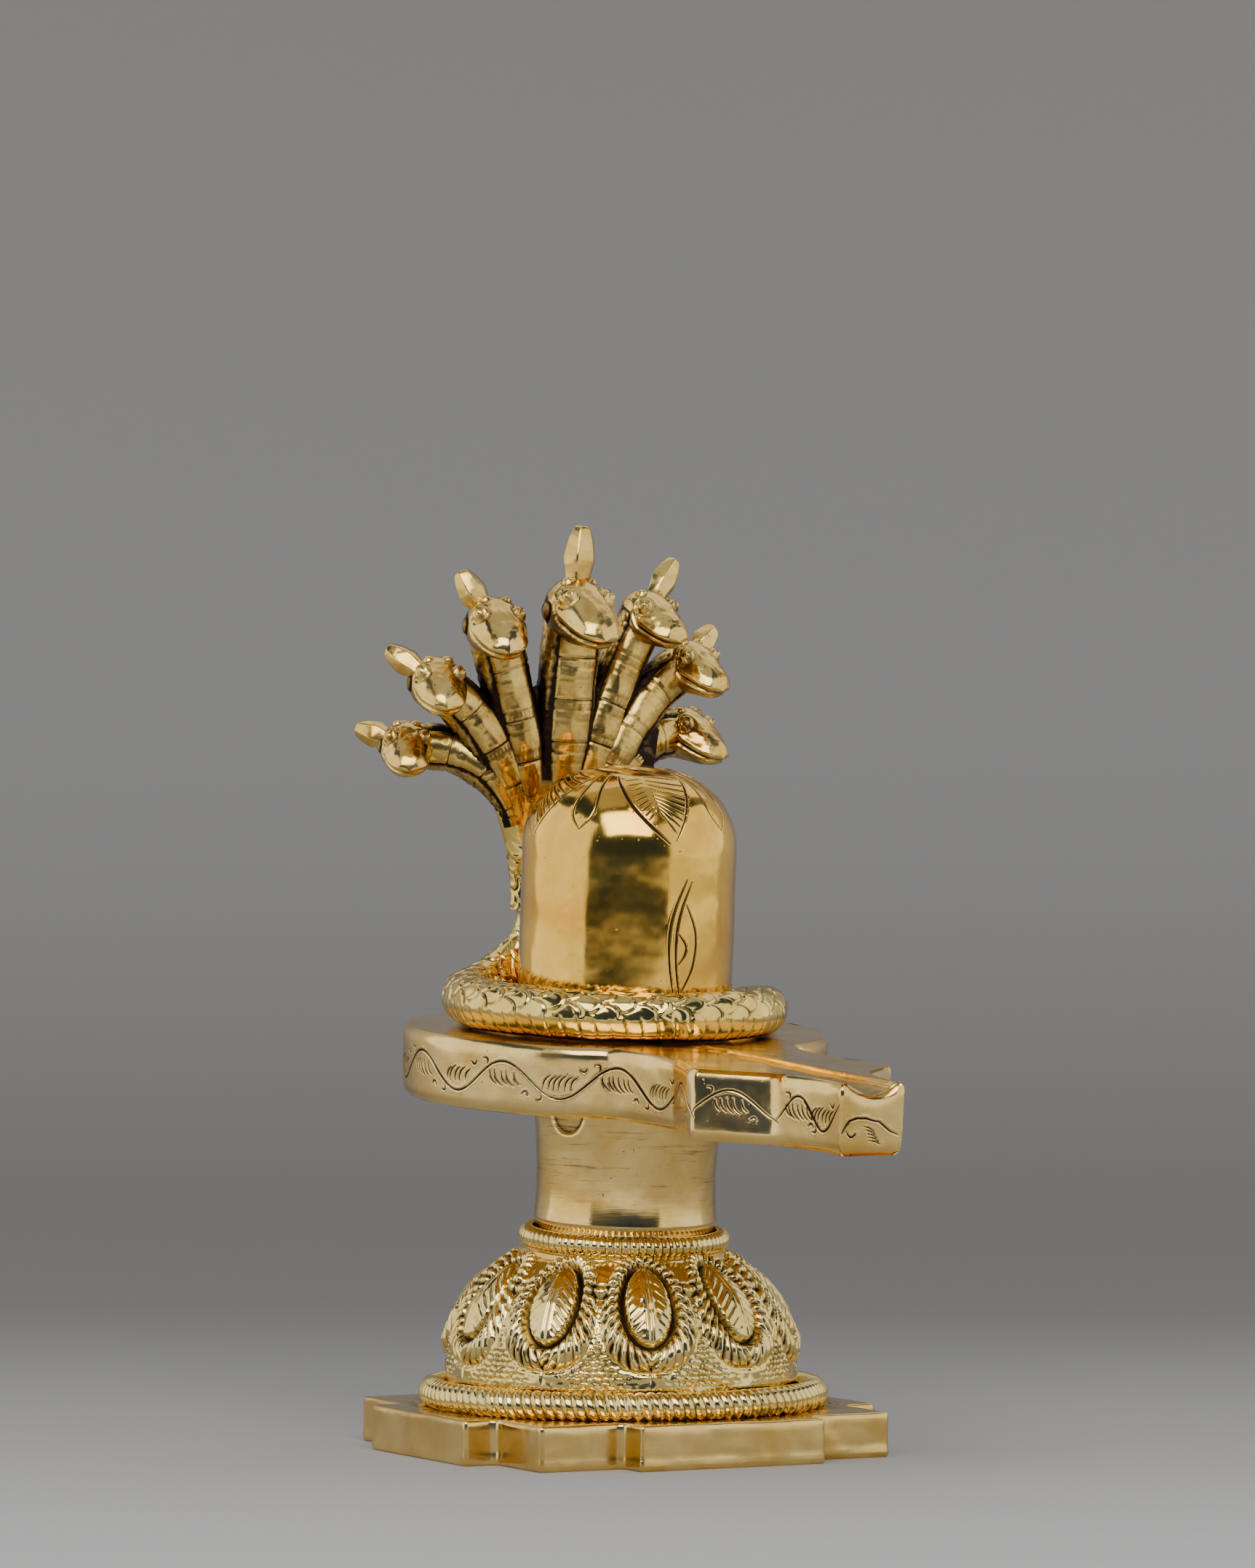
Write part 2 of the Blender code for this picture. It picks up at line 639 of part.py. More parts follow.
# Looks: each piece has its own plain brass
pedestal.data.materials.append(brass("pedestal_brass", (0.62, 0.46, 0.22, 1.0), 0.3))
yoni_plate.data.materials.append(brass("yoni_plate_brass", (0.66, 0.49, 0.24, 1.0), 0.22))
lingam.data.materials.append(brass("lingam_brass", (0.68, 0.52, 0.27, 1.0), 0.18))
naga.data.materials.append(brass("naga_brass", (0.64, 0.47, 0.22, 1.0), 0.28))
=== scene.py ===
# %% [markdown]
# # A cast brass shiva lingam, dressed for the camera
# The solid model already has the pieces in their places: a pedestal, a yoni plate with a spout,
# the lingam and a seven-headed serpent. This lesson gives each piece the finish of a hand-finished
# brass casting: chased petals, rope rings, an engraved vine and serpent scales.
# Everything below works in millimetres, because that is how such a piece is measured in the
# workshop, and one function turns the finished points into metres.

import math

import bpy
import numpy as np
from mathutils import Matrix, Vector


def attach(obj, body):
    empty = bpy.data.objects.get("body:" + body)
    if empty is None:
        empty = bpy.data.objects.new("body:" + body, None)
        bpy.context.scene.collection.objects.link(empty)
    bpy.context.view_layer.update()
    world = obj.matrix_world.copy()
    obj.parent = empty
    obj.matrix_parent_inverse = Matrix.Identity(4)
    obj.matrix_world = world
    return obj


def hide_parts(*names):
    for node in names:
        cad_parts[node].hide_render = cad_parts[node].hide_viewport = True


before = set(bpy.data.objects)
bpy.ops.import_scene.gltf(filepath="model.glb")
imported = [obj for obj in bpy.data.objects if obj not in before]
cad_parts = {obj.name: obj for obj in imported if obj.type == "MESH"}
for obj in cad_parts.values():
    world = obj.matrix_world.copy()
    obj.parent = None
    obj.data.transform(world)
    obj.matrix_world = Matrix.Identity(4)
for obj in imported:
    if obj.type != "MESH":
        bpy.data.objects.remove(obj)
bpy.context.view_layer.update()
MM = 0.001
print("solids:", sorted(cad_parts))

# %% [markdown]
# ## Where things are
# The foot stands flat on the floor, but the casting above the lotus dome leans a few degrees
# toward the spout, as the real one does. Pieces above the dome are built upright and then
# turned by one matrix, which is easier to reason about than leaning every formula.

# %% Heights and the lean
FOOT_TOP = 7.9
DOME_TOP = FOOT_TOP + 26.4
NECK_TOP = DOME_TOP + 26.3
YONI_BASE = NECK_TOP + 0.3
YONI_TOP = YONI_BASE + 12.1
SEAT = YONI_TOP + 0.3
LEAN = math.radians(3.4)

pivot = Vector((0.0, 0.0, DOME_TOP * MM))
lean = Matrix.Translation(pivot) @ Matrix.Rotation(LEAN, 4, "X") @ Matrix.Translation(-pivot)
print("plate top is", round(YONI_TOP, 1), "mm over the floor before the lean")

# %% [markdown]
# ## Building surfaces from grids
# A casting's surface can be sculpted by hand or written as a grid of points pushed in and out
# by a formula. The formula way is used here: a petal, rib or scale is described once and then
# repeats, and the pattern stays sharp because the grid is finer than the chasing tool.
# Each grid also keeps a number called `hollow`, from 0 on the polished heights to 1 in the
# recesses, where the polishing wheel doesn't reach and brown tarnish stays.


# %% Grids, pieces and unevenness
def grid_faces(rows, columns, wrap):
    """Quads over a grid of points, joined round when it wraps."""
    index = np.arange(rows * columns).reshape(rows, columns)
    if wrap:
        index = np.hstack([index, index[:, :1]])
    corners = (index[:-1, :-1], index[:-1, 1:], index[1:, 1:], index[1:, :-1])
    return np.stack(corners, -1).reshape(-1, 4)


def make_piece(name, node, points, faces, finish, hollow=None, leaning=True):
    """Turn points in millimetres into a smooth piece that stands for a node."""
    points = np.asarray(points, dtype=float).reshape(-1, 3)
    mesh = bpy.data.meshes.new(name)
    faces = [list(face) for face in faces] if isinstance(faces, list) else faces.tolist()
    mesh.from_pydata((points * MM).tolist(), [], faces)
    mesh.update()
    if swept_volume(mesh) < 0.0:
        mesh.flip_normals()
    if leaning:
        mesh.transform(lean)
    mesh.shade_smooth()
    depth = mesh.attributes.new("hollow", "FLOAT", "POINT")
    values = np.zeros(len(points)) if hollow is None else np.clip(np.ravel(hollow), 0.0, 1.0)
    depth.data.foreach_set("value", values.astype(np.float32))
    mesh.materials.append(finish)
    piece = bpy.data.objects.new(name, mesh)
    bpy.context.scene.collection.objects.link(piece)
    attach(piece, "root")
    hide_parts(node)
    print(name, "has", len(mesh.polygons), "faces")
    return piece


def swept_volume(mesh):
    """Six times the volume that the faces enclose, to see which way they look."""
    normals = np.empty(len(mesh.polygons) * 3)
    centres = np.empty(len(mesh.polygons) * 3)
    areas = np.empty(len(mesh.polygons))
    mesh.polygons.foreach_get("normal", normals)
    mesh.polygons.foreach_get("center", centres)
    mesh.polygons.foreach_get("area", areas)
    centres = centres.reshape(-1, 3)
    centres -= centres.mean(0)
    return ((centres * normals.reshape(-1, 3)).sum(1) * areas).sum()


def wobble(points, size, seed):
    """Smooth hand-made unevenness, about -1 to 1, with waves of a size in mm."""
    dice = np.random.default_rng(seed)
    total = np.zeros(points.shape[:-1])
    for _ in range(10):
        way = dice.normal(size=3)
        way *= dice.uniform(0.6, 1.5) * 2.0 * math.pi / size / np.linalg.norm(way)
        total += np.sin(points @ way + dice.uniform(0.0, 2.0 * math.pi))
    return total / 4.5


def step(low, high, value):
    """Ease from 0 at low to 1 at high."""
    t = np.clip((value - low) / (high - low), 0.0, 1.0)
    return t * t * (3.0 - 2.0 * t)


def bump(value, width):
    """A soft hill of height 1 centred on 0."""
    return np.exp(-(value / width) ** 2)


def polar(radius, angle, height):
    """Points about Z; angle 0 faces the spout and grows toward +X."""
    return np.stack([radius * np.sin(angle), -radius * np.cos(angle), height + 0.0 * radius * angle], -1)


# %% [markdown]
# ## The metal
# The piece is yellow brass, sand cast and then polished on a wheel. Freshly polished brass is a
# mirror, but a cast skin keeps faint waves, pin holes and brush lines, and handling leaves pale
# and warm patches. A photographed texture would fix all that to one place, so the finish is
# mixed from noise at real sizes in millimetres instead. In the recesses the tarnish is a dull
# brown. Metals keep the default IOR; their colour is the reflected colour itself.


# %% Finish: polished cast brass
def linear(hex_colour):
    """Turn an sRGB hex colour into linear RGBA."""
    parts = [int(hex_colour[i:i + 2], 16) / 255.0 for i in (1, 3, 5)]
    bent = [c / 12.92 if c <= 0.04045 else ((c + 0.055) / 1.055) ** 2.4 for c in parts]
    return (*bent, 1.0)


def add(tree, kind, links=None, **settings):
    """Add a node, set its properties and fill or link its inputs."""
    node = tree.nodes.new(kind)
    for name, value in settings.items():
        setattr(node, name, value)
    for key, value in (links or {}).items():
        if isinstance(value, bpy.types.NodeSocket):
            tree.links.new(value, node.inputs[key])
        else:
            node.inputs[key].default_value = value
    return node


STAIN_MM, SCRATCH_MM, PIN_HOLE_MM, BRUSH_LINE_MM, POLISH_CLOUD_MM = 3.0, 0.8, 0.9, 0.5, 7.0


def polished_brass(name, gloss, mottle_mm, brush=(1.0, 1.0, 1.0), tarnish=1.0, pits=1.0, pale="#f1d48a",
                   warm="#e2b968", streaks=0.15, waves_mm=9.0):
    """Yellow brass, cast and wheel-polished, with tarnish in its recesses."""
    finish = bpy.data.materials.new(name)
    finish.use_nodes = True
    tree = finish.node_tree
    shader = tree.nodes["Principled BSDF"]
    place = add(tree, "ShaderNodeTexCoord").outputs["Object"]

    # Handling patches: pale where rubbed, warm where lightly tarnished
    patches = add(tree, "ShaderNodeTexNoise", {
        "Vector": place, "Scale": 1.0 / (mottle_mm * MM), "Detail": 4.0, "Roughness": 0.62,
        "Distortion": 0.6})
    patch_share = add(tree, "ShaderNodeMapRange", {0: patches.outputs["Fac"], 1: 0.36, 2: 0.68})
    skin = add(tree, "ShaderNodeMix", {0: patch_share.outputs[0], 6: linear(pale), 7: linear(warm)},
               data_type="RGBA")

    # Small warm stains, a few millimetres across
    stains = add(tree, "ShaderNodeTexNoise", {
        "Vector": place, "Scale": 1.0 / (STAIN_MM * MM), "Detail": 5.0, "Roughness": 0.7})
    stain_share = add(tree, "ShaderNodeMapRange", {
        0: stains.outputs["Fac"], 1: 0.6, 2: 0.78, 4: 0.5 * tarnish})
    stained = add(tree, "ShaderNodeMix", {
        0: stain_share.outputs[0], 6: skin.outputs[2], 7: linear("#b8924a")}, data_type="RGBA")

    # Dark scratches that follow the brush
    stretched = add(tree, "ShaderNodeMapping", {"Vector": place, "Scale": brush})
    scratches = add(tree, "ShaderNodeTexNoise", {
        "Vector": stretched.outputs[0], "Scale": 1.0 / (SCRATCH_MM * MM), "Detail": 4.0, "Roughness": 0.75})
    scratch_share = add(tree, "ShaderNodeMapRange", {
        0: scratches.outputs["Fac"], 1: 0.56, 2: 0.72, 4: 0.8 * streaks})
    scratched = add(tree, "ShaderNodeMix", {
        0: scratch_share.outputs[0], 6: stained.outputs[2], 7: linear("#5a4325")}, data_type="RGBA")

    # Casting pits: pin holes about half a millimetre across
    specks = add(tree, "ShaderNodeTexNoise", {
        "Vector": place, "Scale": 1.0 / (PIN_HOLE_MM * MM), "Detail": 2.0, "Roughness": 0.5})
    pit_share = add(tree, "ShaderNodeMapRange", {
        0: specks.outputs["Fac"], 1: 0.735, 2: 0.79, 4: 0.75 * pits})
    pitted = add(tree, "ShaderNodeMix", {
        0: pit_share.outputs[0], 6: scratched.outputs[2], 7: linear("#43321c")}, data_type="RGBA")

    # Tarnish in the recesses, broken up by the patches
    hollow = add(tree, "ShaderNodeAttribute", attribute_name="hollow").outputs["Fac"]
    broken = add(tree, "ShaderNodeMath", {0: patches.outputs["Fac"], 1: 0.5}, operation="SUBTRACT")
    uneven = add(tree, "ShaderNodeMath", {0: broken.outputs[0], 1: 0.9, 2: hollow}, operation="MULTIPLY_ADD")
    depth = add(tree, "ShaderNodeMapRange", {0: uneven.outputs[0], 1: 0.32, 2: 0.8})
    colour = add(tree, "ShaderNodeMix", {
        0: depth.outputs[0], 6: pitted.outputs[2], 7: linear("#2c2018")}, data_type="RGBA")
    tree.links.new(colour.outputs[2], shader.inputs["Base Color"])

    # Roughness: the polish is uneven, and tarnish is dull
    cloud = add(tree, "ShaderNodeTexNoise", {
        "Vector": place, "Scale": 1.0 / (POLISH_CLOUD_MM * MM), "Detail": 6.0, "Roughness": 0.7})
    polish = add(tree, "ShaderNodeMapRange", {
        0: cloud.outputs["Fac"], 1: 0.3, 2: 0.75, 3: gloss, 4: gloss * 2.1})
    rough = add(tree, "ShaderNodeMix", {0: depth.outputs[0], 2: polish.outputs[0], 3: 0.55})
    tree.links.new(rough.outputs[0], shader.inputs["Roughness"])
    shader.inputs["Metallic"].default_value = 1.0

    # Relief too fine for the grid: brush lines, the cast skin's slow waves and the pits
    lines = add(tree, "ShaderNodeTexNoise", {
        "Vector": stretched.outputs[0], "Scale": 1.0 / (BRUSH_LINE_MM * MM), "Detail": 3.0, "Roughness": 0.6})
    waves = add(tree, "ShaderNodeTexNoise", {
        "Vector": place, "Scale": 1.0 / (waves_mm * MM), "Detail": 2.0, "Roughness": 0.45})
    fine = add(tree, "ShaderNodeBump", {
        "Height": lines.outputs["Fac"], "Strength": 0.1, "Distance": 0.06 * MM})
    slow = add(tree, "ShaderNodeBump", {
        "Height": waves.outputs["Fac"], "Strength": 0.35, "Distance": 0.5 * MM, "Normal": fine.outputs[0]})
    holes = add(tree, "ShaderNodeBump", {
        "Height": pit_share.outputs[0], "Strength": 0.6, "Distance": 0.1 * MM, "Normal": slow.outputs[0]},
        invert=True)
    tree.links.new(holes.outputs[0], shader.inputs["Normal"])
    print(name, "mixes", len(tree.nodes), "nodes")
    return finish


pillar_brass = polished_brass("polished brass, round turned", 0.085, 16.0, brush=(1.0, 1.0, 0.12),
                              pale="#ebbf54", warm="#d89f3c", streaks=0.12)
plate_brass = polished_brass("polished brass, filed flat", 0.12, 14.0, brush=(0.4, 0.4, 1.0),
                             pale="#f0d084", warm="#ddb45e")
neck_brass = polished_brass("brushed brass, lathe scratched", 0.09, 11.0, brush=(0.06, 0.06, 1.0),
                            tarnish=0.7, pits=1.3, streaks=1.1, pale="#efd083", warm="#d9ae58")
chased_brass = polished_brass("chased brass, tarnished recesses", 0.09, 8.0, tarnish=0.7,
                              pale="#f0d688", warm="#dfbe68")
scale_brass = polished_brass("chased brass, serpent skin", 0.09, 9.0, tarnish=0.9,
                             pale="#eed078", warm="#d6b257")
head_brass = polished_brass("cast brass, lightly polished", 0.14, 6.0, tarnish=1.2, pits=1.2,
                            pale="#eccb74", warm="#cf9f48", waves_mm=2.6)
throat_brass = polished_brass("cast brass, half polished and tarnished", 0.16, 5.0, tarnish=1.6,
                              waves_mm=4.0, pale="#dcba64", warm="#a6823e")

# %% [markdown]
# ## The foot plate
# The foot is a thick square slab whose sides step out in the middle. On the real one the corners
# were filed: the outer corners are just broken, and the inner ones keep the round of the file.
# A cube with a Bevel modifier would give every corner the same round, so the outline is drawn
# with its own radius at each corner and then carried up the wall and over the top.


# %% Outline with filed corners
def filed_outline(corners, radii, spacing):
    """Round each corner by its own radius and space points evenly."""
    rounded = []
    count = len(corners)
    for i, radius in enumerate(radii):
        here = np.array(corners[i])
        back = np.array(corners[i - 1]) - here
        ahead = np.array(corners[(i + 1) % count]) - here
        back /= np.linalg.norm(back)
        ahead /= np.linalg.norm(ahead)
        half = math.acos(np.clip(back @ ahead, -1.0, 1.0)) / 2.0
        reach = radius / math.tan(half)
        for t in np.linspace(0.0, 1.0, 7):
            rounded.append(here + back * reach * (1 - t) ** 2 + ahead * reach * t ** 2)
    return even_points(np.array(rounded), spacing)


def even_points(loop, spacing):
    """Space points evenly along a closed loop."""
    closed = np.vstack([loop, loop[:1]])
    run = np.concatenate([[0.0], np.cumsum(np.linalg.norm(np.diff(closed, axis=0), axis=1))])
    count = int(run[-1] / spacing)
    at = np.arange(count) * run[-1] / count
    return np.stack([np.interp(at, run, closed[:, k]) for k in range(2)], -1)


def loop_normals(loop):
    """Outward directions along a loop that runs counter-clockwise."""
    along = np.roll(loop, -1, 0) - np.roll(loop, 1, 0)
    along /= np.linalg.norm(along, axis=1, keepdims=True)
    return np.stack([along[:, 1], -along[:, 0]], -1)


FOOT_HALF, FOOT_STEP_HALF, FOOT_STEP_OUT = 34.1, 18.0, 6.2
corner_loop = []
for quarter in range(4):
    spin = Matrix.Rotation(math.radians(90.0 * quarter), 2)
    out = FOOT_HALF + FOOT_STEP_OUT
    side = ((-FOOT_HALF, -FOOT_HALF), (-FOOT_STEP_HALF, -FOOT_HALF), (-FOOT_STEP_HALF, -out),
            (FOOT_STEP_HALF, -out), (FOOT_STEP_HALF, -FOOT_HALF))
    corner_loop += [tuple(spin @ Vector(corner)) for corner in side]
foot_loop = filed_outline(corner_loop, [0.7, 1.5, 0.6, 0.6, 1.5] * 4, 0.55)
foot_normals = loop_normals(foot_loop)
print("foot outline has", len(foot_loop), "points")

# %% [markdown]
# The wall rises from the outline with a small round at its foot and top edge, and the top closes
# inward under the rope ring. A wall that is dead flat would mirror like glass, so it is pushed by
# a tenth of a millimetre of slow unevenness, as a file leaves it. Near the rope the casting skin
# is rough and dark, because no wheel gets in there.

# %% Foot plate
UNDER_ROPE_RADIUS = 31.0
foot_rows = []
wall_steps = [(0.55, 0.0), (0.35, 0.08), (0.08, 0.45), (0.0, 1.0), (0.0, 1.9), (0.0, 2.9), (0.0, 3.9),
              (0.0, 4.9), (0.0, 5.9), (0.0, 6.8), (0.05, 7.3), (0.22, 7.65), (0.55, 7.85), (1.1, 7.9)]
for inset, z in wall_steps:
    foot_rows.append(np.column_stack([foot_loop - foot_normals * inset, np.full(len(foot_loop), z)]))
inner = foot_loop / np.linalg.norm(foot_loop, axis=1, keepdims=True) * UNDER_ROPE_RADIUS
edge = foot_rows[-1][:, :2]
for share in np.linspace(0.0, 1.0, 26)[1:]:
    foot_rows.append(np.column_stack([edge + (inner - edge) * share, np.full(len(edge), FOOT_TOP)]))
foot = np.array(foot_rows)
wall = step(0.5, 2.0, foot[..., 2]) * (1.0 - step(7.2, 7.8, foot[..., 2]))
push = wobble(foot, 14.0, 3) * 0.09 + wobble(foot, 5.0, 4) * 0.03 - 0.12
foot[..., :2] += foot_normals * (push * wall)[..., None]
radius = np.linalg.norm(foot[..., :2], axis=-1)
near_rope = (1.0 - step(36.0, 39.0, radius)) * (foot[..., 2] > 7.8)
foot[..., 2] -= near_rope * (0.12 + 0.14 * wobble(foot, 1.5, 5))
foot[..., 2] -= (foot[..., 2] > 7.0) * 0.05 * (1.0 + wobble(foot, 9.0, 6))
foot[0, :, 2] = 0.0
foot_hollow = near_rope * (0.35 + 0.4 * wobble(foot, 2.2, 7))
foot_faces = grid_faces(foot.shape[0], foot.shape[1], True).tolist()
foot_faces.append(list(range(foot.shape[1])))
make_piece("foot_plate", "pedestal", foot, foot_faces, plate_brass, foot_hollow, leaning=False)

# %% [markdown]
# ## Rope rings
# A rope ring is a plain half-round ring cut across with a file or a knurling tool. Modelling each
# rib as an object would need over a hundred copies; one ring whose thickness rises and falls
# around it gives the same metal with one mesh. The foot ring's ribs lean like a twisted rope, and
# the collar's stand upright.

# %% Rope rings
def rope_ring(name, ring_radius, thick, centre_z, ribs, slant, cut, leaning, arc):
    """A half-round ring with file-cut ribs across it."""
    around = np.linspace(0.0, 2.0 * math.pi, ribs * 10, endpoint=False)
    tube = np.radians(np.linspace(arc[0], arc[1], 19))
    tube_grid, around_grid = np.meshgrid(tube, around, indexing="ij")
    jitter = 0.35 * np.sin(around_grid * 7.0 + 1.0) + 0.25 * np.sin(around_grid * 23.0)
    phase = around_grid * ribs + slant * tube_grid + jitter
    rib = np.abs(np.cos(phase / 2.0)) ** 0.7
    face = polar(np.ones_like(around_grid), around_grid, 0.0 * tube_grid)
    reach = thick - cut * (1.0 - rib) * (0.75 + 0.25 * np.sin(around_grid * 11.0 + tube_grid))
    r = ring_radius + reach * np.cos(tube_grid)
    points = polar(r, around_grid, 0.0 * r)
    points[..., 2] = centre_z + reach * np.sin(tube_grid)
    points += face * (wobble(points, 6.0, ribs) * 0.05)[..., None]
    hollow = (1.0 - rib) ** 2 * 0.9 + 0.1
    faces = grid_faces(*around_grid.shape, True)
    return make_piece(name, "pedestal", points, faces, chased_brass, hollow, leaning)


rope_ring("foot_rope_ring", ring_radius=33.2, thick=2.6, centre_z=FOOT_TOP + 2.2, ribs=116, slant=1.9,
          cut=0.62, leaning=False, arc=(-75.0, 150.0))
rope_ring("collar_rope_ring", ring_radius=16.7, thick=1.75, centre_z=DOME_TOP + 2.9, ribs=80, slant=0.3,
          cut=0.42, leaning=True, arc=(-80.0, 110.0))

# %% [markdown]
# ## The lotus dome
# Ten petals hang over the dome. Each has a smooth leaf in the middle with a double rib and side
# veins, a deep groove round it, and a broad border cut like a feather. Small beads sit between
# the petals at the top, and the ground between their tips was punched all over with a ring tool.
# A displacement texture would do, but then nothing could be measured. The relief is a height in
# millimetres worked out at each point from its distance to the nearest petal's middle.

# %% Dome profile
DOME_RADIUS, DOME_WALL, DOME_HEIGHT, DOME_CROWN = 30.2, 11.3, 26.4, 17.8
DOME_ASIDE = -0.5
profile_z = np.linspace(DOME_HEIGHT + 0.2, 3.6, 400)
rise = np.clip((profile_z - DOME_WALL) / (DOME_HEIGHT - DOME_WALL), 0.0, 1.02)
profile_r = DOME_RADIUS - (DOME_RADIUS - DOME_CROWN) * (0.35 * rise + 0.65 * rise ** 2.6)
profile_run = np.concatenate([[0.0], np.cumsum(np.hypot(np.diff(profile_r), np.diff(profile_z)))])
DOME_ROWS = 128
run = np.linspace(0.0, profile_run[-1], DOME_ROWS)
dome_r = np.interp(run, profile_run, profile_r)
dome_z = np.interp(run, profile_run, profile_z)
slope_r = np.gradient(dome_r, run)
slope_z = np.gradient(dome_z, run)
print("dome skin is", round(profile_run[-1], 1), "mm from collar to rope")

# %% [markdown]
# One petal is worked out from how far a place lies outside its oval leaf. Below zero is the leaf,
# a little above it the groove, then the feathered border, and under the tip a smooth lobe. The
# distance round the leaf's edge tells where each notch of the feather falls.

# %% Petal relief
PETALS = 10
MID_RADIUS = 27.5
LEAF_TOP_Z, LEAF_TIP_Z, LEAF_HALF_WIDTH = 24.8, 12.6, 4.2


def down_dome(z):
    """Distance in mm down the dome's skin to a height."""
    return np.interp(z, profile_z[::-1], profile_run[::-1])


LEAF_MID = (down_dome(LEAF_TOP_Z) + down_dome(LEAF_TIP_Z)) / 2.0
LEAF_HALF = (down_dome(LEAF_TIP_Z) - down_dome(LEAF_TOP_Z)) / 2.0
round_angle = np.linspace(0.0, math.pi, 200)
round_step = np.hypot(LEAF_HALF_WIDTH * np.cos(round_angle), LEAF_HALF * np.sin(round_angle))
round_step *= math.pi / 199.0
round_run = np.cumsum(round_step) - round_step[0]


def petal_relief(side, down):
    """Height and hollow in mm at a place beside and below a petal's middle top."""
    v = down - LEAF_MID
    q = np.maximum(np.hypot(side / LEAF_HALF_WIDTH, v / LEAF_HALF), 0.02)
    out = (q - 1.0) * q / np.hypot(side / LEAF_HALF_WIDTH ** 2, v / LEAF_HALF ** 2)
    around = np.abs(np.arctan2(side / LEAF_HALF_WIDTH, v / LEAF_HALF))
    path = np.interp(around, round_angle, round_run)
    # The leaf: domed, with a double rib and slanting veins
    leaf = out < 0.0
    dome = np.sqrt(np.clip(1.0 - np.clip(q, 0.0, 1.0) ** 2, 0.0, 1.0))
    ribs = 0.22 * bump(np.abs(side) - 0.5, 0.24) - 0.25 * bump(side, 0.2)
    veins = bump(np.mod(v * 0.85 - np.abs(side) * 0.8, 1.6) - 0.8, 0.26) * step(0.9, 1.4, np.abs(side))
    height = np.where(leaf, 0.3 + 0.95 * dome + ribs - 0.24 * veins, 0.0)
    # The groove round it, then a rolled border notched like a feather
    groove = bump(out - 0.5, 0.45)
    height = height - 0.85 * groove * (out > -0.4)
    limit = 4.0 + 0.9 * step(0.0, LEAF_HALF, v)
    border = step(0.8, 1.3, out) * (1.0 - step(limit - 0.6, limit + 0.2, out))
    feather = np.abs(np.cos(math.pi * (path + 0.45 * out + 0.12 * np.sin(side * 5.0)) / 1.25))
    roll = np.sin(np.clip((out - 0.8) / (limit - 0.8), 0.0, 1.0) * math.pi) ** 0.7
    height = height + border * (0.35 + 0.8 * roll - 0.75 * (1.0 - feather) ** 1.2)
    # The smooth lobe below the tip
    lobe = step(limit - 0.3, limit + 0.6, out) * (v > 0.0) * bump(side, 5.0)
    nick = bump(side, 0.18) * bump(out - limit - 0.6, 1.2) * (v > 0.0)
    height = height + 0.7 * lobe - 0.4 * nick
    hollow = groove + border * (1.0 - feather) ** 1.3 + nick * 0.7
    hollow = hollow + leaf * (0.3 * (1.0 - dome) ** 2 + 0.35 * veins)
    return height, hollow, out - limit, v


# %% [markdown]
# The dome repeats the petal ten times with a small drift, since each was cut by hand. Where the
# petals leave the ground free, rows of round punch marks fill it, set like bricks and a little
# out of line.

# %% Lotus dome
DOME_COLUMNS = 720
angles = np.linspace(0.0, 2.0 * math.pi, DOME_COLUMNS, endpoint=False)
run_grid, angle_grid = np.meshgrid(run, angles, indexing="ij")
z_grid = np.repeat(dome_z[:, None], DOME_COLUMNS, 1)
spacing = 2.0 * math.pi / PETALS
turned = np.mod(angle_grid, spacing) - spacing / 2.0
side = turned * MID_RADIUS
hand = 0.25 * np.sin(angle_grid * 3.0 + 1.0) + 0.2 * np.sin(angle_grid * 5.0)
height, hollow, beyond, v = petal_relief(side + 0.12 * hand, run_grid + 0.5 * hand)

# Beads between the petal tops
gap_side = (spacing / 2.0 - np.abs(turned)) * MID_RADIUS
bead_v = v + 2.6
bead = np.hypot(gap_side, bead_v)
height += 0.8 * np.sqrt(np.clip(1.0 - (bead / 1.15) ** 2, 0.0, 1.0)) - 0.4 * bump(bead - 1.5, 0.25)
hollow += 0.8 * bump(bead - 1.5, 0.3)

# Punched ground between the petal tips
PUNCH_PITCH = 0.95
ground = step(0.0, 0.6, beyond) * step(-1.0, 1.0, v) * step(5.2, 6.2, z_grid)
ground = ground * (1.0 - bump(side, 5.0) * step(4.5, 5.5, v))
tall = run_grid / PUNCH_PITCH
wide = angle_grid * DOME_RADIUS / PUNCH_PITCH
row = np.floor(tall)
offset = wide + 0.5 * np.mod(row, 2.0)
du = np.mod(offset, 1.0) - 0.5 + 0.22 * np.sin(row * 2.3 + np.floor(offset) * 1.7)
dv = np.mod(tall, 1.0) - 0.5 + 0.18 * np.sin(row * 1.1 + np.floor(offset) * 2.9)
punch = np.sqrt(np.clip(1.0 - (np.hypot(du, dv) / 0.52) ** 2, 0.0, 1.0))
height += ground * (0.42 * punch - 0.15)
hollow += ground * (1.0 - punch) * 0.7

dome_points = polar(np.repeat(dome_r[:, None], DOME_COLUMNS, 1), angle_grid, 0.0)
dome_points[..., 2] = z_grid + FOOT_TOP
outward = polar(np.repeat(-slope_z[:, None], DOME_COLUMNS, 1), angle_grid, 0.0)
outward[..., 2] = np.repeat(slope_r[:, None], DOME_COLUMNS, 1)
height += 0.1 * wobble(dome_points, 7.0, 11) + 0.04 * wobble(dome_points, 2.0, 12)
height *= step(3.8, 5.0, z_grid)
dome_points += outward * height[..., None]
dome_points[..., 0] += DOME_ASIDE
dome_faces = grid_faces(DOME_ROWS, DOME_COLUMNS, True)
make_piece("lotus_dome", "pedestal", dome_points, dome_faces, chased_brass, hollow, False)

# %% [markdown]
# ## The neck
# The neck was turned smooth between the dome and the plate, so a lathe profile is all it needs.
# It swells a little toward its foot, and there it mirrors the dark room. Its character is in the
# marks: a half-moon gouge near the top, scratches left by the tool and an open seam or two. The
# scratches are in the material; the gouge is real depth.

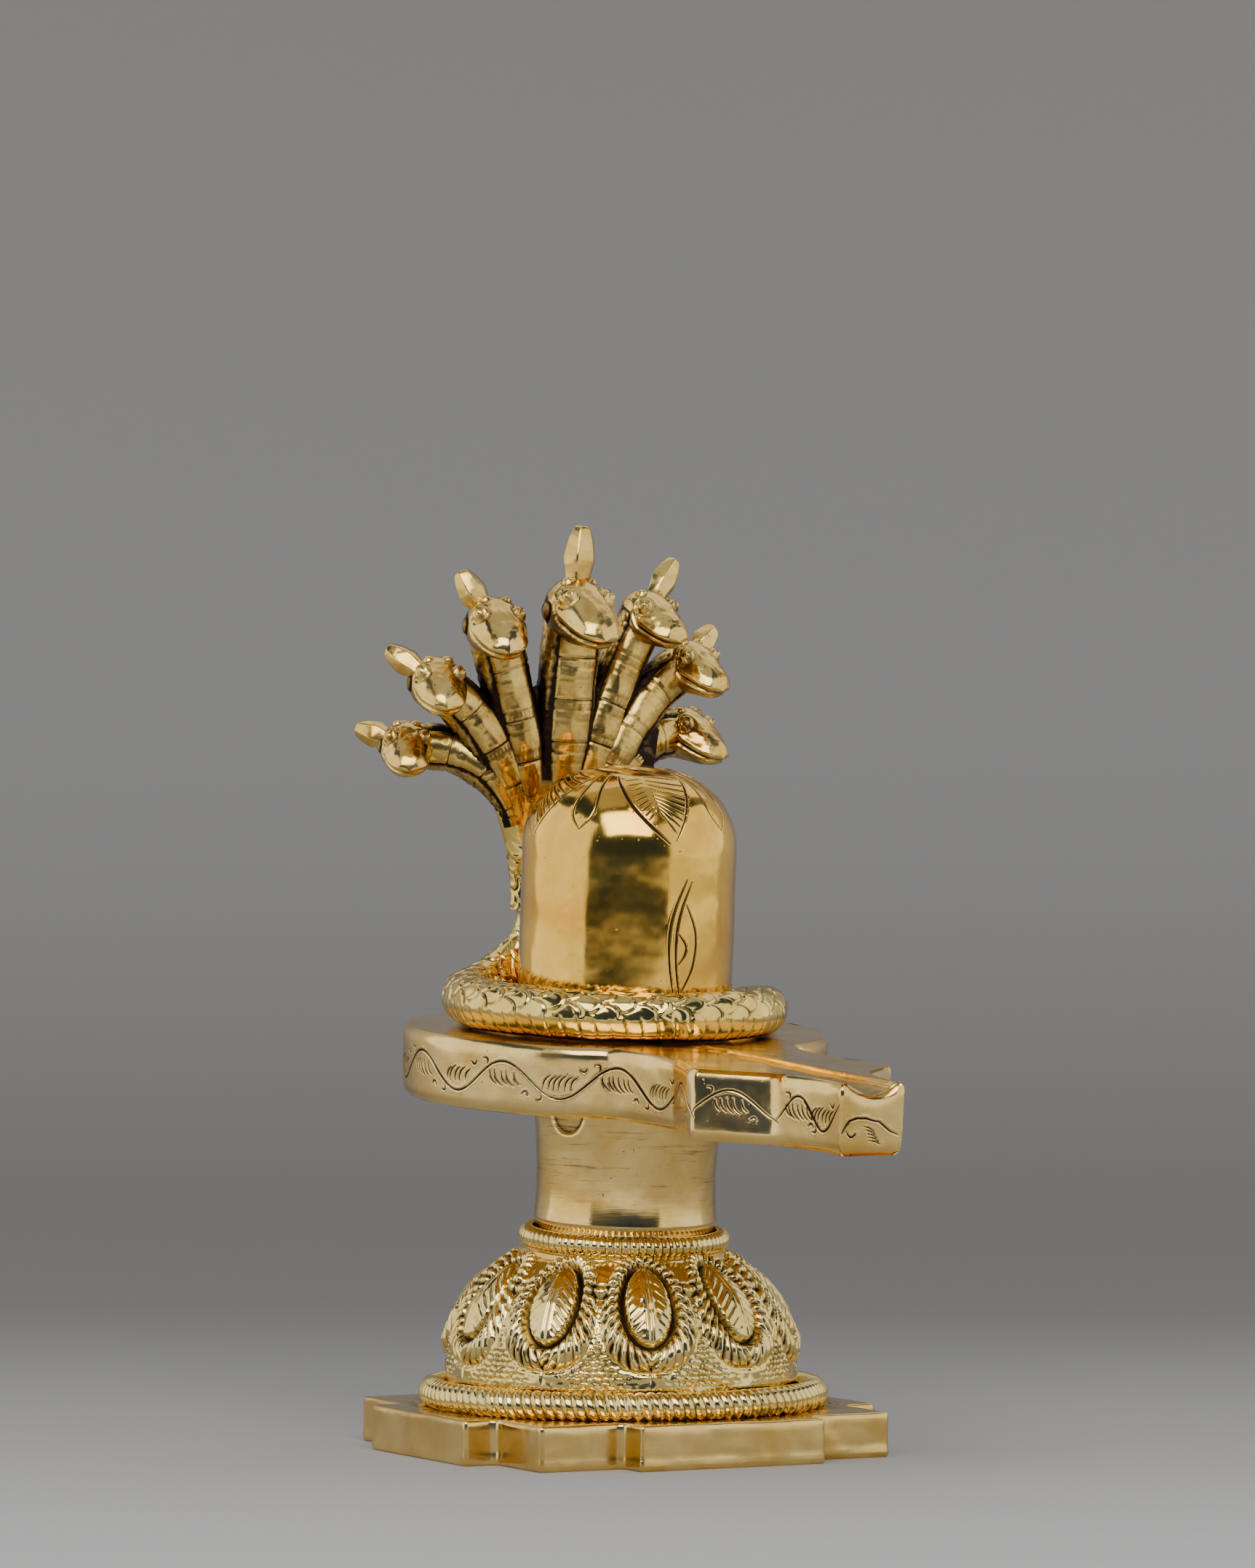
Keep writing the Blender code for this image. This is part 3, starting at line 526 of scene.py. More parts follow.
# %% Neck
NECK_COLUMNS = 250
NECK_WAIST, NECK_HEAD, NECK_CLEAR = 15.2, 16.6, 6.0
GOUGE_TURN, GOUGE_RADIUS = math.radians(-69.0), 3.2
neck_profile = [(17.9, DOME_TOP - 2.2), (18.5, DOME_TOP - 0.9), (18.75, DOME_TOP - 0.2),
                (18.7, DOME_TOP + 0.5), (18.2, DOME_TOP + 1.1), (16.0, DOME_TOP + 2.0),
                (15.6, DOME_TOP + 4.2), (15.35, DOME_TOP + 5.2)]
for share in np.linspace(0.0, 1.0, 60):
    swell = (NECK_HEAD - NECK_WAIST) * share ** 1.7 + 0.8 * (1.0 - share) ** 3
    rise = NECK_CLEAR + (NECK_TOP - DOME_TOP - NECK_CLEAR) * share
    neck_profile.append((NECK_WAIST + swell, DOME_TOP + rise))
neck_profile.append((16.0, NECK_TOP + 0.1))
neck_profile = np.array(neck_profile)
turns = np.linspace(0.0, 2.0 * math.pi, NECK_COLUMNS, endpoint=False)
neck_z, neck_turn = np.meshgrid(neck_profile[:, 1], turns, indexing="ij")
neck_r = np.repeat(neck_profile[:, :1], NECK_COLUMNS, 1)
gouge_side = (np.mod(neck_turn - GOUGE_TURN + math.pi, 2.0 * math.pi) - math.pi) * 16.0
gouge_up = neck_z - (NECK_TOP - 1.0)
from_gouge = np.hypot(gouge_side, gouge_up)
gouge = (from_gouge < GOUGE_RADIUS + 0.2) * (gouge_up < 0.0)
edge_of_gouge = bump(from_gouge - GOUGE_RADIUS, 0.35) * (gouge_up < 0.2)
neck_points = polar(neck_r, neck_turn, 0.0)
neck_points[..., 2] = neck_z
push = 0.06 * wobble(neck_points, 15.0, 21) - 0.4 * edge_of_gouge - 0.12 * gouge
neck_points += polar(np.ones_like(neck_turn), neck_turn, 0.0) * push[..., None]
seam = bump(neck_z - (DOME_TOP + 15.0 + 1.2 * np.sin(neck_turn * 2.0)), 0.12)
seam = seam * step(0.2, 0.9, wobble(neck_points, 9.0, 22))
neck_hollow = 0.9 * edge_of_gouge + 0.45 * seam + 0.5 * bump(neck_z - (DOME_TOP + 4.8), 0.5)
make_piece("neck", "pedestal", neck_points, grid_faces(*neck_turn.shape, True), neck_brass, neck_hollow)

# %% [markdown]
# ## Engraving
# A graver leaves a V-shaped line about 0.4 mm wide, with a burr that catches the light. A line
# drawn in the material would vanish at a glancing angle, so the lines are cut into the mesh. A
# grid fine enough everywhere would be millions of faces. Instead only the cells that a stroke
# crosses are split, and their neighbours take the extra corners as many-sided faces, so the
# skin stays in one piece.


# %% Cut strokes into a grid
def stroke_distance(strokes, u, v, squeeze=1.0):
    """Distance in mm from flat places to the nearest stroke, and that stroke's half width.

    Squeeze is how much shorter u really is at each place, as on a crown that narrows."""
    squeeze = np.broadcast_to(squeeze, u.shape)
    best = np.full(u.shape, 9.0)
    half = np.full(u.shape, 0.2)
    for stroke, thick in strokes:
        line = np.asarray(stroke, dtype=float)
        near = ((u > line[:, 0].min() - 1.6) & (u < line[:, 0].max() + 1.6)
                & (v > line[:, 1].min() - 0.8) & (v < line[:, 1].max() + 0.8))
        if not near.any():
            continue
        pu, pv, tight = u[near], v[near], squeeze[near]
        reach = np.full(pu.shape, 9.0)
        wide = np.full(pu.shape, thick)
        for k in range(len(line) - 1):
            a, b = line[k], line[k + 1]
            run_u, run_v = (b[0] - a[0]) * tight, b[1] - a[1]
            off_u, off_v = (pu - a[0]) * tight, pv - a[1]
            t = np.clip((off_u * run_u + off_v * run_v) / np.maximum(run_u ** 2 + run_v ** 2, 1e-9), 0.0, 1.0)
            d = np.hypot(off_u - t * run_u, off_v - t * run_v)
            # A stroke swells in its middle and thins to its ends
            share = (k + t) / (len(line) - 1)
            swell = thick * (0.35 + 0.65 * np.sin(np.clip(share, 0.02, 0.98) * math.pi) ** 0.6)
            closer = d < reach
            reach = np.where(closer, d, reach)
            wide = np.where(closer, swell, wide)
        old = best[near]
        closer = reach < old
        best[near] = np.where(closer, reach, old)
        half[near] = np.where(closer, wide, half[near])
    return best, half


def engraved_grid(rows, columns, u_of, v_of, strokes, split=4, wrap=True, squeeze_of=None):
    """Points (u, v) and faces of a grid that is split where strokes cross it."""
    j, i = np.meshgrid(np.arange(columns), np.arange(rows))
    centre_u = u_of(j + 0.5)
    centre_v = v_of(i + 0.5)
    cell_size = max(abs(u_of(1.0) - u_of(0.0)), abs(v_of(1.0) - v_of(0.0)))
    squeeze = 1.0 if squeeze_of is None else squeeze_of(centre_v)
    distance, _ = stroke_distance(strokes, centre_u, centre_v, squeeze)
    fine = distance < cell_size * 0.75 + 0.25
    index = {}
    keys = []

    def corner(a, b):
        """Number of the point at fine row a and fine column b."""
        if wrap:
            b %= columns * split
        if (a, b) not in index:
            index[(a, b)] = len(keys)
            keys.append((a, b))
        return index[(a, b)]

    faces = []
    for r in range(rows):
        for c in range(columns):
            a0, b0 = r * split, c * split
            if fine[r, c]:
                for p in range(split):
                    for q in range(split):
                        a, b = a0 + p, b0 + q
                        faces.append([corner(a, b), corner(a, b + 1), corner(a + 1, b + 1), corner(a + 1, b)])
                continue
            left = fine[r, c - 1] if (c > 0 or wrap) else False
            right = fine[r, (c + 1) % columns] if (c + 1 < columns or wrap) else False
            below = fine[r - 1, c] if r > 0 else False
            above = fine[r + 1, c] if r + 1 < rows else False
            a1, b1 = a0 + split, b0 + split
            face = [corner(a0, b) for b in (range(b0, b1) if below else [b0])]
            face += [corner(a, b1) for a in (range(a0, a1) if right else [a0])]
            face += [corner(a1, b) for b in (range(b1, b0, -1) if above else [b1])]
            face += [corner(a, b0) for a in (range(a1, a0, -1) if left else [a1])]
            faces.append(face)
    keys = np.array(keys, dtype=float)
    return u_of(keys[:, 1] / split), v_of(keys[:, 0] / split), faces


def cut(distance, half, depth=0.2):
    """Depth in mm of the graver's V with a slight burr, and how dark it is."""
    share = distance / half
    groove = -depth * np.clip(1.0 - share, 0.0, 1.0)
    burr = 0.05 * bump(share - 1.3, 0.3)
    return groove + burr, np.clip(1.5 - 1.3 * share, 0.0, 1.0)


# %% [markdown]
# ## Vine scroll
# The rim carries a running vine: a wavy stem, a fan of five or six short leaf cuts in each bend
# and a small comma on the other side. It is a common bazaar pattern, cut freehand, so every
# repeat differs a little. Strokes are lists of flat points; the same small set is reused on the
# disc, the shoulders and the spout.


# %% Strokes of the vine
def arc_stroke(start, end, bow, thick=0.21, count=7):
    """A curved stroke that bows to one side of its chord."""
    start, end = np.array(start), np.array(end)
    chord = end - start
    side = np.array([-chord[1], chord[0]])
    share = np.linspace(0.0, 1.0, count)
    path = start + chord * share[:, None] + side * (bow * 4.0 * share * (1.0 - share))[:, None]
    return path, thick


def leaf_fan(at, way, size, dice):
    """Five or six short curved cuts side by side, longest in the middle."""
    fan = []
    count = 5 + int(dice.integers(0, 2))
    for k in range(count):
        share = (k - (count - 1) / 2.0) / count
        length = size * (1.0 - 0.9 * share * share) * dice.uniform(0.85, 1.1)
        foot = (at[0] + share * size * 1.9 + 0.3, at[1] - way * 0.45 * length)
        tip = (foot[0] - 0.5 * length, foot[1] + way * length * 0.85)
        fan.append(arc_stroke(foot, tip, 0.18 * way, 0.23))
    return fan


def vine(start, end, middle, swing, wave, seed):
    """A wavy stem with leaf fans and commas along a strip."""
    dice = np.random.default_rng(seed)
    strokes = []
    bends = max(int(round((end - start) / wave)), 1)
    wave = (end - start) / bends
    share = np.linspace(-0.3, 1.28, 19)
    for k in range(bends):
        way = 1.0 if k % 2 == 0 else -1.0
        a = start + k * wave + dice.uniform(-0.3, 0.3)
        u = a + wave * share
        v = middle + way * (swing * np.sin(math.pi * share) + 0.45 * np.cos(math.pi * share))
        strokes.append((np.column_stack([u, v]), 0.27))
        strokes += leaf_fan((a + wave * 0.52, middle + way * swing * 0.05), way, 3.1, dice)
        hook = (a + wave * 0.14, middle + way * swing * 0.75)
        strokes.append(arc_stroke(hook, (hook[0] - 0.9, hook[1] + way * 1.0), -0.5 * way, 0.24))
        hook = (a + wave * 0.8, middle - way * swing * 0.85)
        strokes.append(arc_stroke(hook, (hook[0] + 1.3, hook[1] - way * 0.2), 0.5 * way, 0.24))
    return strokes


# %% [markdown]
# ## The yoni plate
# The plate is a thick disc that narrows into a spout with pointed shoulders. Its rim is rounded
# at both edges and draws in a little toward the bottom. The outline is one half drawn from the
# back of the disc to the end of the spout and then mirrored; the rim is a strip wrapped along
# it, so the vine can be cut in flat millimetres along the strip.

# %% Plate outline
DISC_RADIUS, DISC_BACK = 37.4, 5.6
half_outline = [(DISC_RADIUS * math.sin(a), DISC_BACK + DISC_RADIUS * math.cos(a))
                for a in np.radians(np.linspace(0.0, 148.0, 60))]
leave_x, leave_y = half_outline[-1]
for share in np.linspace(0.0, 1.0, 12)[1:]:
    half_outline.append((leave_x + (15.5 - leave_x) * math.sin(share * math.pi / 2.0),
                         leave_y + (-44.5 - leave_y) * (1.0 - math.cos(share * math.pi / 2.0))))
half_outline += [(17.2, -49.6), (18.8, -54.4), (19.7, -57.3), (20.2, -58.5), (19.9, -59.4), (19.0, -60.3)]
half_outline += [(14.5, -64.8), (10.2, -68.9), (9.5, -69.9)]
for share in np.linspace(0.0, 1.0, 14)[1:]:
    x = 9.4 - 3.0 * share - 0.9 * math.sin(share * math.pi)
    half_outline.append((x, -69.6 - 16.1 * share))
half_outline += [(6.2, -85.95), (5.8, -86.0)]
half_outline = np.array(half_outline)
right_side = half_outline[::-1]
left_side = half_outline[1:] * (-1.0, 1.0)
plate_loop = even_points(np.vstack([right_side, left_side]), 0.5)
plate_normals = loop_normals(plate_loop)
if (plate_normals[:, 0] * plate_loop[:, 0]).sum() < 0.0:
    plate_normals = -plate_normals
closed_loop = np.vstack([plate_loop, plate_loop[:1]])
closed_normals = np.vstack([plate_normals, plate_normals[:1]])
plate_run = np.concatenate([[0.0], np.cumsum(np.linalg.norm(np.diff(closed_loop, axis=0), axis=1))])
PERIMETER = plate_run[-1]
print("plate rim is", round(PERIMETER), "mm round")

# %% [markdown]
# A round-bottomed channel runs down the middle of the plate's top to the end of the spout, and
# grows wider and deeper on its way. Its depth is one formula, shared by the top and by the rim,
# whose upper edge dips where the channel runs out.

# %% Channel depth
CHANNEL_START, SPOUT_REACH = 23.0, 86.0


def channel_depth(x, y):
    """Depth in mm of the round-bottomed channel in the plate's top."""
    along = np.clip((-y - CHANNEL_START) / (SPOUT_REACH - CHANNEL_START), 0.0, 1.05)
    half = 1.8 + 3.1 * along
    deep = 0.9 + 1.3 * along
    across = np.clip(1.0 - (x / half) ** 2, 0.0, 1.0)
    return deep * across ** 0.8 * step(CHANNEL_START - 1.0, CHANNEL_START + 1.5, -y)


# %% [markdown]
# The vine stops at each corner of the outline and starts anew, so the rim is divided there into
# stretches. A long stretch takes wide waves and a short one narrow waves.

# %% Where the vine runs
def rim_place(x_sign, y):
    """Distance along the rim to the outline point at a given side and depth."""
    on_side = np.sign(plate_loop[:, 0]) == x_sign
    gap = np.where(on_side, np.abs(plate_loop[:, 1] - y), 99.0)
    return plate_run[int(np.argmin(gap))]


marks = sorted([rim_place(s, y) for s in (-1.0, 1.0) for y in (-46.0, -57.5, -60.0, -68.5, -70.5, -84.5)])
print("rim marks:", [round(m, 1) for m in marks])
RIM_HEIGHT = 12.1
RIM_CLEAR = 0.14

# %% [markdown]
# The strokes of all the stretches lie on one flat strip as long as the rim. The strip is made as
# a grid, split where strokes cross it, and wrapped round the plate. It draws in toward its lower
# edge, which turns its mirror image down to the pale table and keeps the rim bright. The
# shoulders are filed the other way and mirror the dark room.

# %% Strokes of the rim
rim_strokes = []
for number, (first, last) in enumerate(zip(marks[:-1], marks[1:])):
    length = last - first
    if length > 60.0:
        rim_strokes += vine(first + 1.0, last - 1.0, middle=6.0, swing=2.9, wave=10.4, seed=31 + number)
    elif length > 5.0:
        rim_strokes += vine(first + 0.8, last - 0.8, middle=6.2, swing=2.6, wave=7.0, seed=31 + number)

# The spout's end carries one arch, a leaf under it and a comma
spout_end = PERIMETER - 11.8
arch = np.array([(0.3, 3.8), (1.8, 6.3), (3.2, 7.3), (4.8, 7.6), (7.4, 6.8), (9.5, 4.5), (11.2, 3.3)])
rim_strokes.append((arch + (spout_end, 0.0), 0.28))
for k in range(5):
    foot = (spout_end + 4.6 + 0.25 * k, 5.9 - 0.72 * k)
    tip = (spout_end + 6.6 + 0.3 * k, 4.8 - 0.66 * k)
    rim_strokes.append(arc_stroke(foot, tip, 0.12, 0.2))
rim_strokes.append(arc_stroke((spout_end + 1.2, 4.3), (spout_end + 3.0, 4.4), -0.5, 0.25))
print("rim carries", len(rim_strokes), "strokes")

# %% Engraved rim
CELL = 0.66
rim_columns = int(PERIMETER / CELL)
rim_step = PERIMETER / rim_columns
rim_rows = 18
u, v, rim_faces = engraved_grid(rim_rows, rim_columns, lambda b: b * rim_step,
                                lambda a: a * RIM_HEIGHT / rim_rows, rim_strokes, split=4)


def along_rim(u):
    """Flat place and outward direction at distances along the rim."""
    x = np.interp(u % PERIMETER, plate_run, closed_loop[:, 0])
    y = np.interp(u % PERIMETER, plate_run, closed_loop[:, 1])
    nx = np.interp(u % PERIMETER, plate_run, closed_normals[:, 0])
    ny = np.interp(u % PERIMETER, plate_run, closed_normals[:, 1])
    return x, y, nx, ny


def rim_inset(share):
    """How far the rim draws in at its rounded edges and toward its foot."""
    return np.abs(share * 2.0 - 1.0) ** 11 + 0.45 * (1.0 - share)


x, y, nx, ny = along_rim(u)
share = v / RIM_HEIGHT
top_drop = np.where(y < -CHANNEL_START, channel_depth(x, y), 0.0)
z = YONI_BASE + share * (RIM_HEIGHT - top_drop)
distance, half = stroke_distance(rim_strokes, u, v)
push, dark = cut(distance, half)
# One dark spot sits on the front of the disc
STAIN_X, STAIN_Y, STAIN_HEIGHT = -17.3, -27.5, 8.6
stain = bump(np.hypot(x - STAIN_X, y - STAIN_Y), 0.7) * bump(v - STAIN_HEIGHT, 0.8)
dark = np.maximum(dark, stain)
rim_points = np.stack([x, y, z], -1)
# The shoulders were filed a little back toward the top
filed_back = 1.35 * share * step(-56.0, -59.0, y) * step(-71.0, -69.0, y)
push = push - rim_inset(share) - filed_back - RIM_CLEAR
push = push + 0.035 * wobble(rim_points, 17.0, 41) + 0.02 * wobble(rim_points, 5.0, 42)
rim_points[:, 0] += nx * push
rim_points[:, 1] += ny * push
make_piece("yoni_rim", "yoni_plate", rim_points, rim_faces, plate_brass, dark)

# %% [markdown]
# The top and underside are grids drawn across the outline from side to side, with rows that
# gather at both ends where the outline turns fastest. Both carry a slow unevenness of a twentieth
# of a millimetre, so that they don't mirror like glass.

# %% Plate top and underside
def plate_face(name, level, carved, rows, columns):
    """The flat top or underside, with the channel in the top."""
    edge = plate_loop - plate_normals * (rim_inset(1.0 if carved else 0.0) + RIM_CLEAR)
    right = edge[edge[:, 0] >= 0.0]
    right = right[np.argsort(right[:, 1])]
    share = 0.5 - 0.5 * np.cos(np.linspace(0.0, math.pi, rows))
    y = right[0, 1] + (right[-1, 1] - right[0, 1]) * share
    reach = np.interp(y, right[:, 1], right[:, 0])
    reach[-1] = 0.05
    t = np.linspace(-1.0, 1.0, columns)
    t = t * (0.55 + 0.45 * t * t)
    x = reach[:, None] * t
    y = np.repeat(y[:, None], columns, 1)
    z = np.full(x.shape, level)
    hollow = np.zeros(x.shape)
    if carved:
        z = z - channel_depth(x, y)
        hollow = 0.5 * bump(channel_depth(x, y) - 0.1, 0.15) * (y < -24.0)
    points = np.stack([x, y, z], -1)
    points[..., 2] += 0.05 * wobble(points, 9.0, 51)
    return make_piece(name, "yoni_plate", points, grid_faces(rows, columns, False), plate_brass, hollow)


plate_face("yoni_top", YONI_TOP, carved=True, rows=190, columns=100)
plate_face("yoni_underside", YONI_BASE, carved=False, rows=90, columns=40)

# %% [markdown]
# ## The lingam
# The pillar is a plain turned form with a full crown. On its front an eye is engraved upright:
# two long strokes on one side, one on the other and a small arc for the pupil. From the crown's
# top, petals radiate: a broad one hatched like a leaf at the front and plain ones beside it.

# %% Pillar profile
LINGAM_RADIUS, LINGAM_BACK, LINGAM_HEIGHT, LINGAM_CROWN = 18.7, 2.6, 45.9, 14.5
crown_turn = np.radians(np.linspace(0.6, 90.0, 160))
CROWN_FOOT = LINGAM_HEIGHT - LINGAM_CROWN
profile = [(LINGAM_RADIUS * math.sin(a) ** 0.8, CROWN_FOOT + LINGAM_CROWN * math.cos(a) ** 0.92)
           for a in crown_turn[:-1]]
profile += [(LINGAM_RADIUS, h) for h in np.linspace(CROWN_FOOT, 0.6, 60)]
profile += [(LINGAM_RADIUS - 0.2, 0.2), (LINGAM_RADIUS - 0.6, 0.0)]
profile = np.array(profile)
pillar_run = np.concatenate([[0.0], np.cumsum(np.hypot(*np.diff(profile, axis=0).T))])
PILLAR_LENGTH = pillar_run[-1]


def down_to(height):
    """Distance down the profile from the apex to a height over the seat."""
    return np.interp(height, profile[::-1, 1], pillar_run[::-1])


# %% [markdown]
# Strokes on the pillar are given as a turn in degrees and a height over the seat. That is how an
# engraver would mark them out, and it stays readable when the pillar's radius changes.

# %% Strokes on the pillar
def pillar_stroke(points, thick=0.26, count=15):
    """A smooth stroke through (degrees round, height over the seat) places."""
    places = np.array([(math.radians(turn) * LINGAM_RADIUS, down_to(height)) for turn, height in points])
    run = np.concatenate([[0.0], np.cumsum(np.hypot(*np.diff(places, axis=0).T))])
    at = np.linspace(0.0, run[-1], count)
    line = np.stack([np.interp(at, run, places[:, k]) for k in (0, 1)], -1)
    for _ in range(2):
        line[1:-1] = 0.25 * line[:-2] + 0.5 * line[1:-1] + 0.25 * line[2:]
    return line, thick


def side_degrees(side):
    """Turn on the pillar of a place some mm to the side of its front line."""
    return math.degrees(side / LINGAM_RADIUS)


eye = [((1.6, 27.5), (-0.6, 23.0), (-1.8, 18.6), (-1.5, 12.5), (-0.1, 5.3)),
       ((2.7, 27.1), (0.7, 23.0), (-0.4, 18.4), (-0.2, 12.0), (1.0, 5.4)),
       ((1.6, 23.1), (3.4, 19.5), (4.0, 16.6), (3.3, 12.0), (1.0, 8.0)),
       ((0.1, 18.2), (1.5, 16.6), (1.9, 15.6), (1.4, 14.1), (0.3, 12.8))]
pillar_strokes = [pillar_stroke([(side_degrees(x), h) for x, h in line], 0.28) for line in eye]
for quarter in range(4):
    turn = -12.0 + 90.0 * quarter
    # A broad leaf: two edges and cuts that fan from its middle
    left_edge = ((-30.0, 44.6), (-25.0, 43.4), (-16.0, 40.3), (-4.0, 36.6), (6.0, 33.8))
    right_edge = ((36.0, 44.4), (30.0, 43.2), (23.5, 41.0), (19.0, 38.8), (10.0, 34.2))
    pillar_strokes.append(pillar_stroke([(turn + aside, h) for aside, h in left_edge], 0.36))
    pillar_strokes.append(pillar_stroke([(turn + aside, h) for aside, h in right_edge], 0.3))
    for k in range(10):
        at = k / 9.0
        foot = (turn - 4.0 + 6.0 * at, 44.7 - 5.4 * at)
        tip = (turn + 30.0 - 20.0 * at ** 1.5, 44.2 - 8.6 * at)
        pillar_strokes.append(pillar_stroke([foot, tip], 0.2, 7))
        if k < 9:
            foot = (turn - 8.0 + 8.0 * at, 44.3 - 5.6 * at)
            tip = (turn - 21.0 + 18.0 * at, 44.0 - 7.0 * at)
            pillar_strokes.append(pillar_stroke([foot, tip], 0.17, 7))
    # A narrow open petal between two leaves
    middle = turn - 45.0
    petal_edge = ((5.0, 45.0), (6.0, 42.5), (8.0, 39.2), (6.5, 37.8), (0.0, 35.8))
    for way in (-1.0, 1.0):
        pillar_strokes.append(pillar_stroke([(middle + way * aside, h) for aside, h in petal_edge], 0.24))

# Each stroke is repeated one turn back and one turn on, so that none breaks off at the seam
wrap = 2.0 * math.pi * LINGAM_RADIUS
print("pillar carries", len(pillar_strokes), "strokes")
pillar_strokes += [(stroke + (way * wrap, 0.0), thick)
                   for stroke, thick in pillar_strokes for way in (-1.0, 1.0)]

# %% [markdown]
# Toward the apex the pillar's rows shrink to a point, and a stroke that is drawn flat would be
# squeezed with them. The squeeze at each height is handed to the cutter, so that a stroke keeps
# its width in real millimetres all the way up.

# %% Lingam
pillar_columns, pillar_rows = 180, 96


def pillar_squeeze(v):
    """Radius at a distance down the profile, as a share of the full radius."""
    return np.interp(v, pillar_run, profile[:, 0]) / LINGAM_RADIUS


u, v, pillar_faces = engraved_grid(pillar_rows, pillar_columns, lambda b: b * wrap / pillar_columns,
                                   lambda a: a * PILLAR_LENGTH / pillar_rows, pillar_strokes, split=4,
                                   squeeze_of=pillar_squeeze)
r = np.interp(v, pillar_run, profile[:, 0])
h = np.interp(v, pillar_run, profile[:, 1])
ahead, behind = v + 0.1, v - 0.1
slope = np.stack([np.interp(ahead, pillar_run, profile[:, k]) - np.interp(behind, pillar_run, profile[:, k])
                  for k in (0, 1)], -1)
slope /= np.linalg.norm(slope, axis=1, keepdims=True)
turn = u / LINGAM_RADIUS
pillar_points = polar(r, turn, 0.0)
pillar_points[:, 2] = SEAT + h
out_way = polar(-slope[:, 1], turn, 0.0)
out_way[:, 2] = slope[:, 0]
distance, half = stroke_distance(pillar_strokes, u, v, pillar_squeeze(v))
push, dark = cut(distance, half)
calm = step(0.0, 4.0, v)
push = push * calm + 0.085 * wobble(pillar_points, 17.0, 61) * calm
pillar_points += out_way * push[:, None]
pillar_points[:, 1] += LINGAM_BACK
make_piece("lingam_pillar", "lingam", pillar_points, pillar_faces, pillar_brass, dark * calm)

# %% [markdown]
# ## The serpent's body
# The snake was cast as one piece and chased: rows of crescent cuts for the scales over its back,
# and broad belly scutes below. Its body is a tube swept along the same path as the solid, first
# round the coil and then up behind the pillar, where it flattens into the hood. A sweep keeps the
# path and the scales separate: each scale's height depends only on how far along and how far
# round it sits.

# %% Path of the body
COIL_HALF_THICK, COIL_HALF_WIDE = 4.15, 4.4
COIL_RADIUS = 22.1 + COIL_HALF_THICK
COIL_Z = SEAT + COIL_HALF_WIDE


def coil_point(degrees, rise):
    """Point on the coil's centre line; 0 is the back, 90 the left."""
    a = math.radians(degrees)
    return np.array([-COIL_RADIUS * math.sin(a), DISC_BACK + COIL_RADIUS * math.cos(a), COIL_Z + rise])


def bezier(a, b, c, d, t):
    """Point on a cubic curve."""
    s = 1.0 - t
    return a * s ** 3 + b * 3.0 * s * s * t + c * 3.0 * s * t * t + d * t ** 3


NECK_BACK = 26.3
neck_foot = coil_point(60.0, 0.0)
neck_rise = np.array([0.0, NECK_BACK, SEAT + 18.0])
hood_top = np.array([0.0, NECK_BACK, SEAT + 40.5])
path, thick, wide = [], [], []
for share in np.linspace(0.0, 1.0, 140):
    shrink = np.interp(share, (0.0, 0.2, 0.34, 0.8, 1.0), (0.28, 0.8, 0.95, 1.0, 1.06))
    path.append(coil_point(318.0 - 258.0 * share, -COIL_HALF_WIDE * (1.0 - shrink)))
    thick.append(COIL_HALF_THICK * shrink)
    wide.append(COIL_HALF_WIDE * shrink)
for share in np.linspace(0.0, 1.0, 36)[1:]:
    leave, arrive = neck_foot + (6.4, 11.08, 0.0), neck_rise + (-1.58, 1.16, -10.5)
    path.append(bezier(neck_foot, leave, arrive, neck_rise, share))
    thick.append(COIL_HALF_THICK + 0.25 * share)
    wide.append(COIL_HALF_WIDE + 6.2 * share ** 2)
for share in np.linspace(0.0, 1.0, 30)[1:]:
    path.append(neck_rise + (hood_top - neck_rise) * share)
    thick.append(4.4 * (1.0 - 0.2 * share))
    wide.append(10.6 + 5.9 * share ** 2.2)
for share in np.linspace(0.0, 1.0, 14)[1:]:
    path.append(hood_top + (0.0, 0.0, 10.0 * share))
    thick.append(3.52 - 1.22 * share)
    wide.append(16.5 + 1.5 * share)
for share in np.linspace(0.0, 1.0, 16)[1:]:
    path.append(hood_top + (0.0, 0.0, 10.0 + 9.3 * share))
    thick.append(2.3 * (1.0 - 0.35 * share))
    wide.append(18.0 * math.sqrt(1.0 - 0.99 * share))
path, thick, wide = np.array(path), np.array(thick), np.array(wide)
body_run = np.concatenate([[0.0], np.cumsum(np.linalg.norm(np.diff(path, axis=0), axis=1))])
print("serpent body is", round(body_run[-1]), "mm long to the hood")


# %% [markdown]
# A scale is one curved stroke of a chasing tool, open toward the head. The metal in front of the
# cut rises a little into a lip, which is what makes the rows glitter. Rows are offset by half a
# scale, and each stroke is a little heavier or lighter than the last.

# %% Scales
def scale_relief(along, across, pitch=5.6, width=4.3, radius=2.15):
    """Height and hollow of crescent cuts that open toward the head, each with a raised lip."""
    height = np.zeros(along.shape)
    shade = np.zeros(along.shape)
    row = np.floor(along / pitch * 2.0)
    for ahead in range(-1, 3):
        j = row + ahead
        shift = 0.5 * np.mod(j, 2.0)
        k = np.round(across / width - shift)
        off_along = along - j * pitch / 2.0 - 0.25 * np.sin(j * 2.3 + k)
        off_across = across - (k + shift) * width - 0.2 * np.sin(j * 1.7 + k * 2.9)
        reach = np.hypot(off_along * 0.8, off_across)
        tailward = 1.0 - step(-0.7, 0.3, off_along)
        heavy = 0.75 + 0.25 * np.sin(j * 3.1 + k * 1.3)
        crescent = bump(reach - radius, 0.2 * heavy) * tailward
        height -= 0.26 * heavy * crescent - 0.14 * bump(reach - radius + 0.5, 0.32) * tailward
        shade = np.maximum(shade, heavy * crescent)
    return height, 0.85 * shade


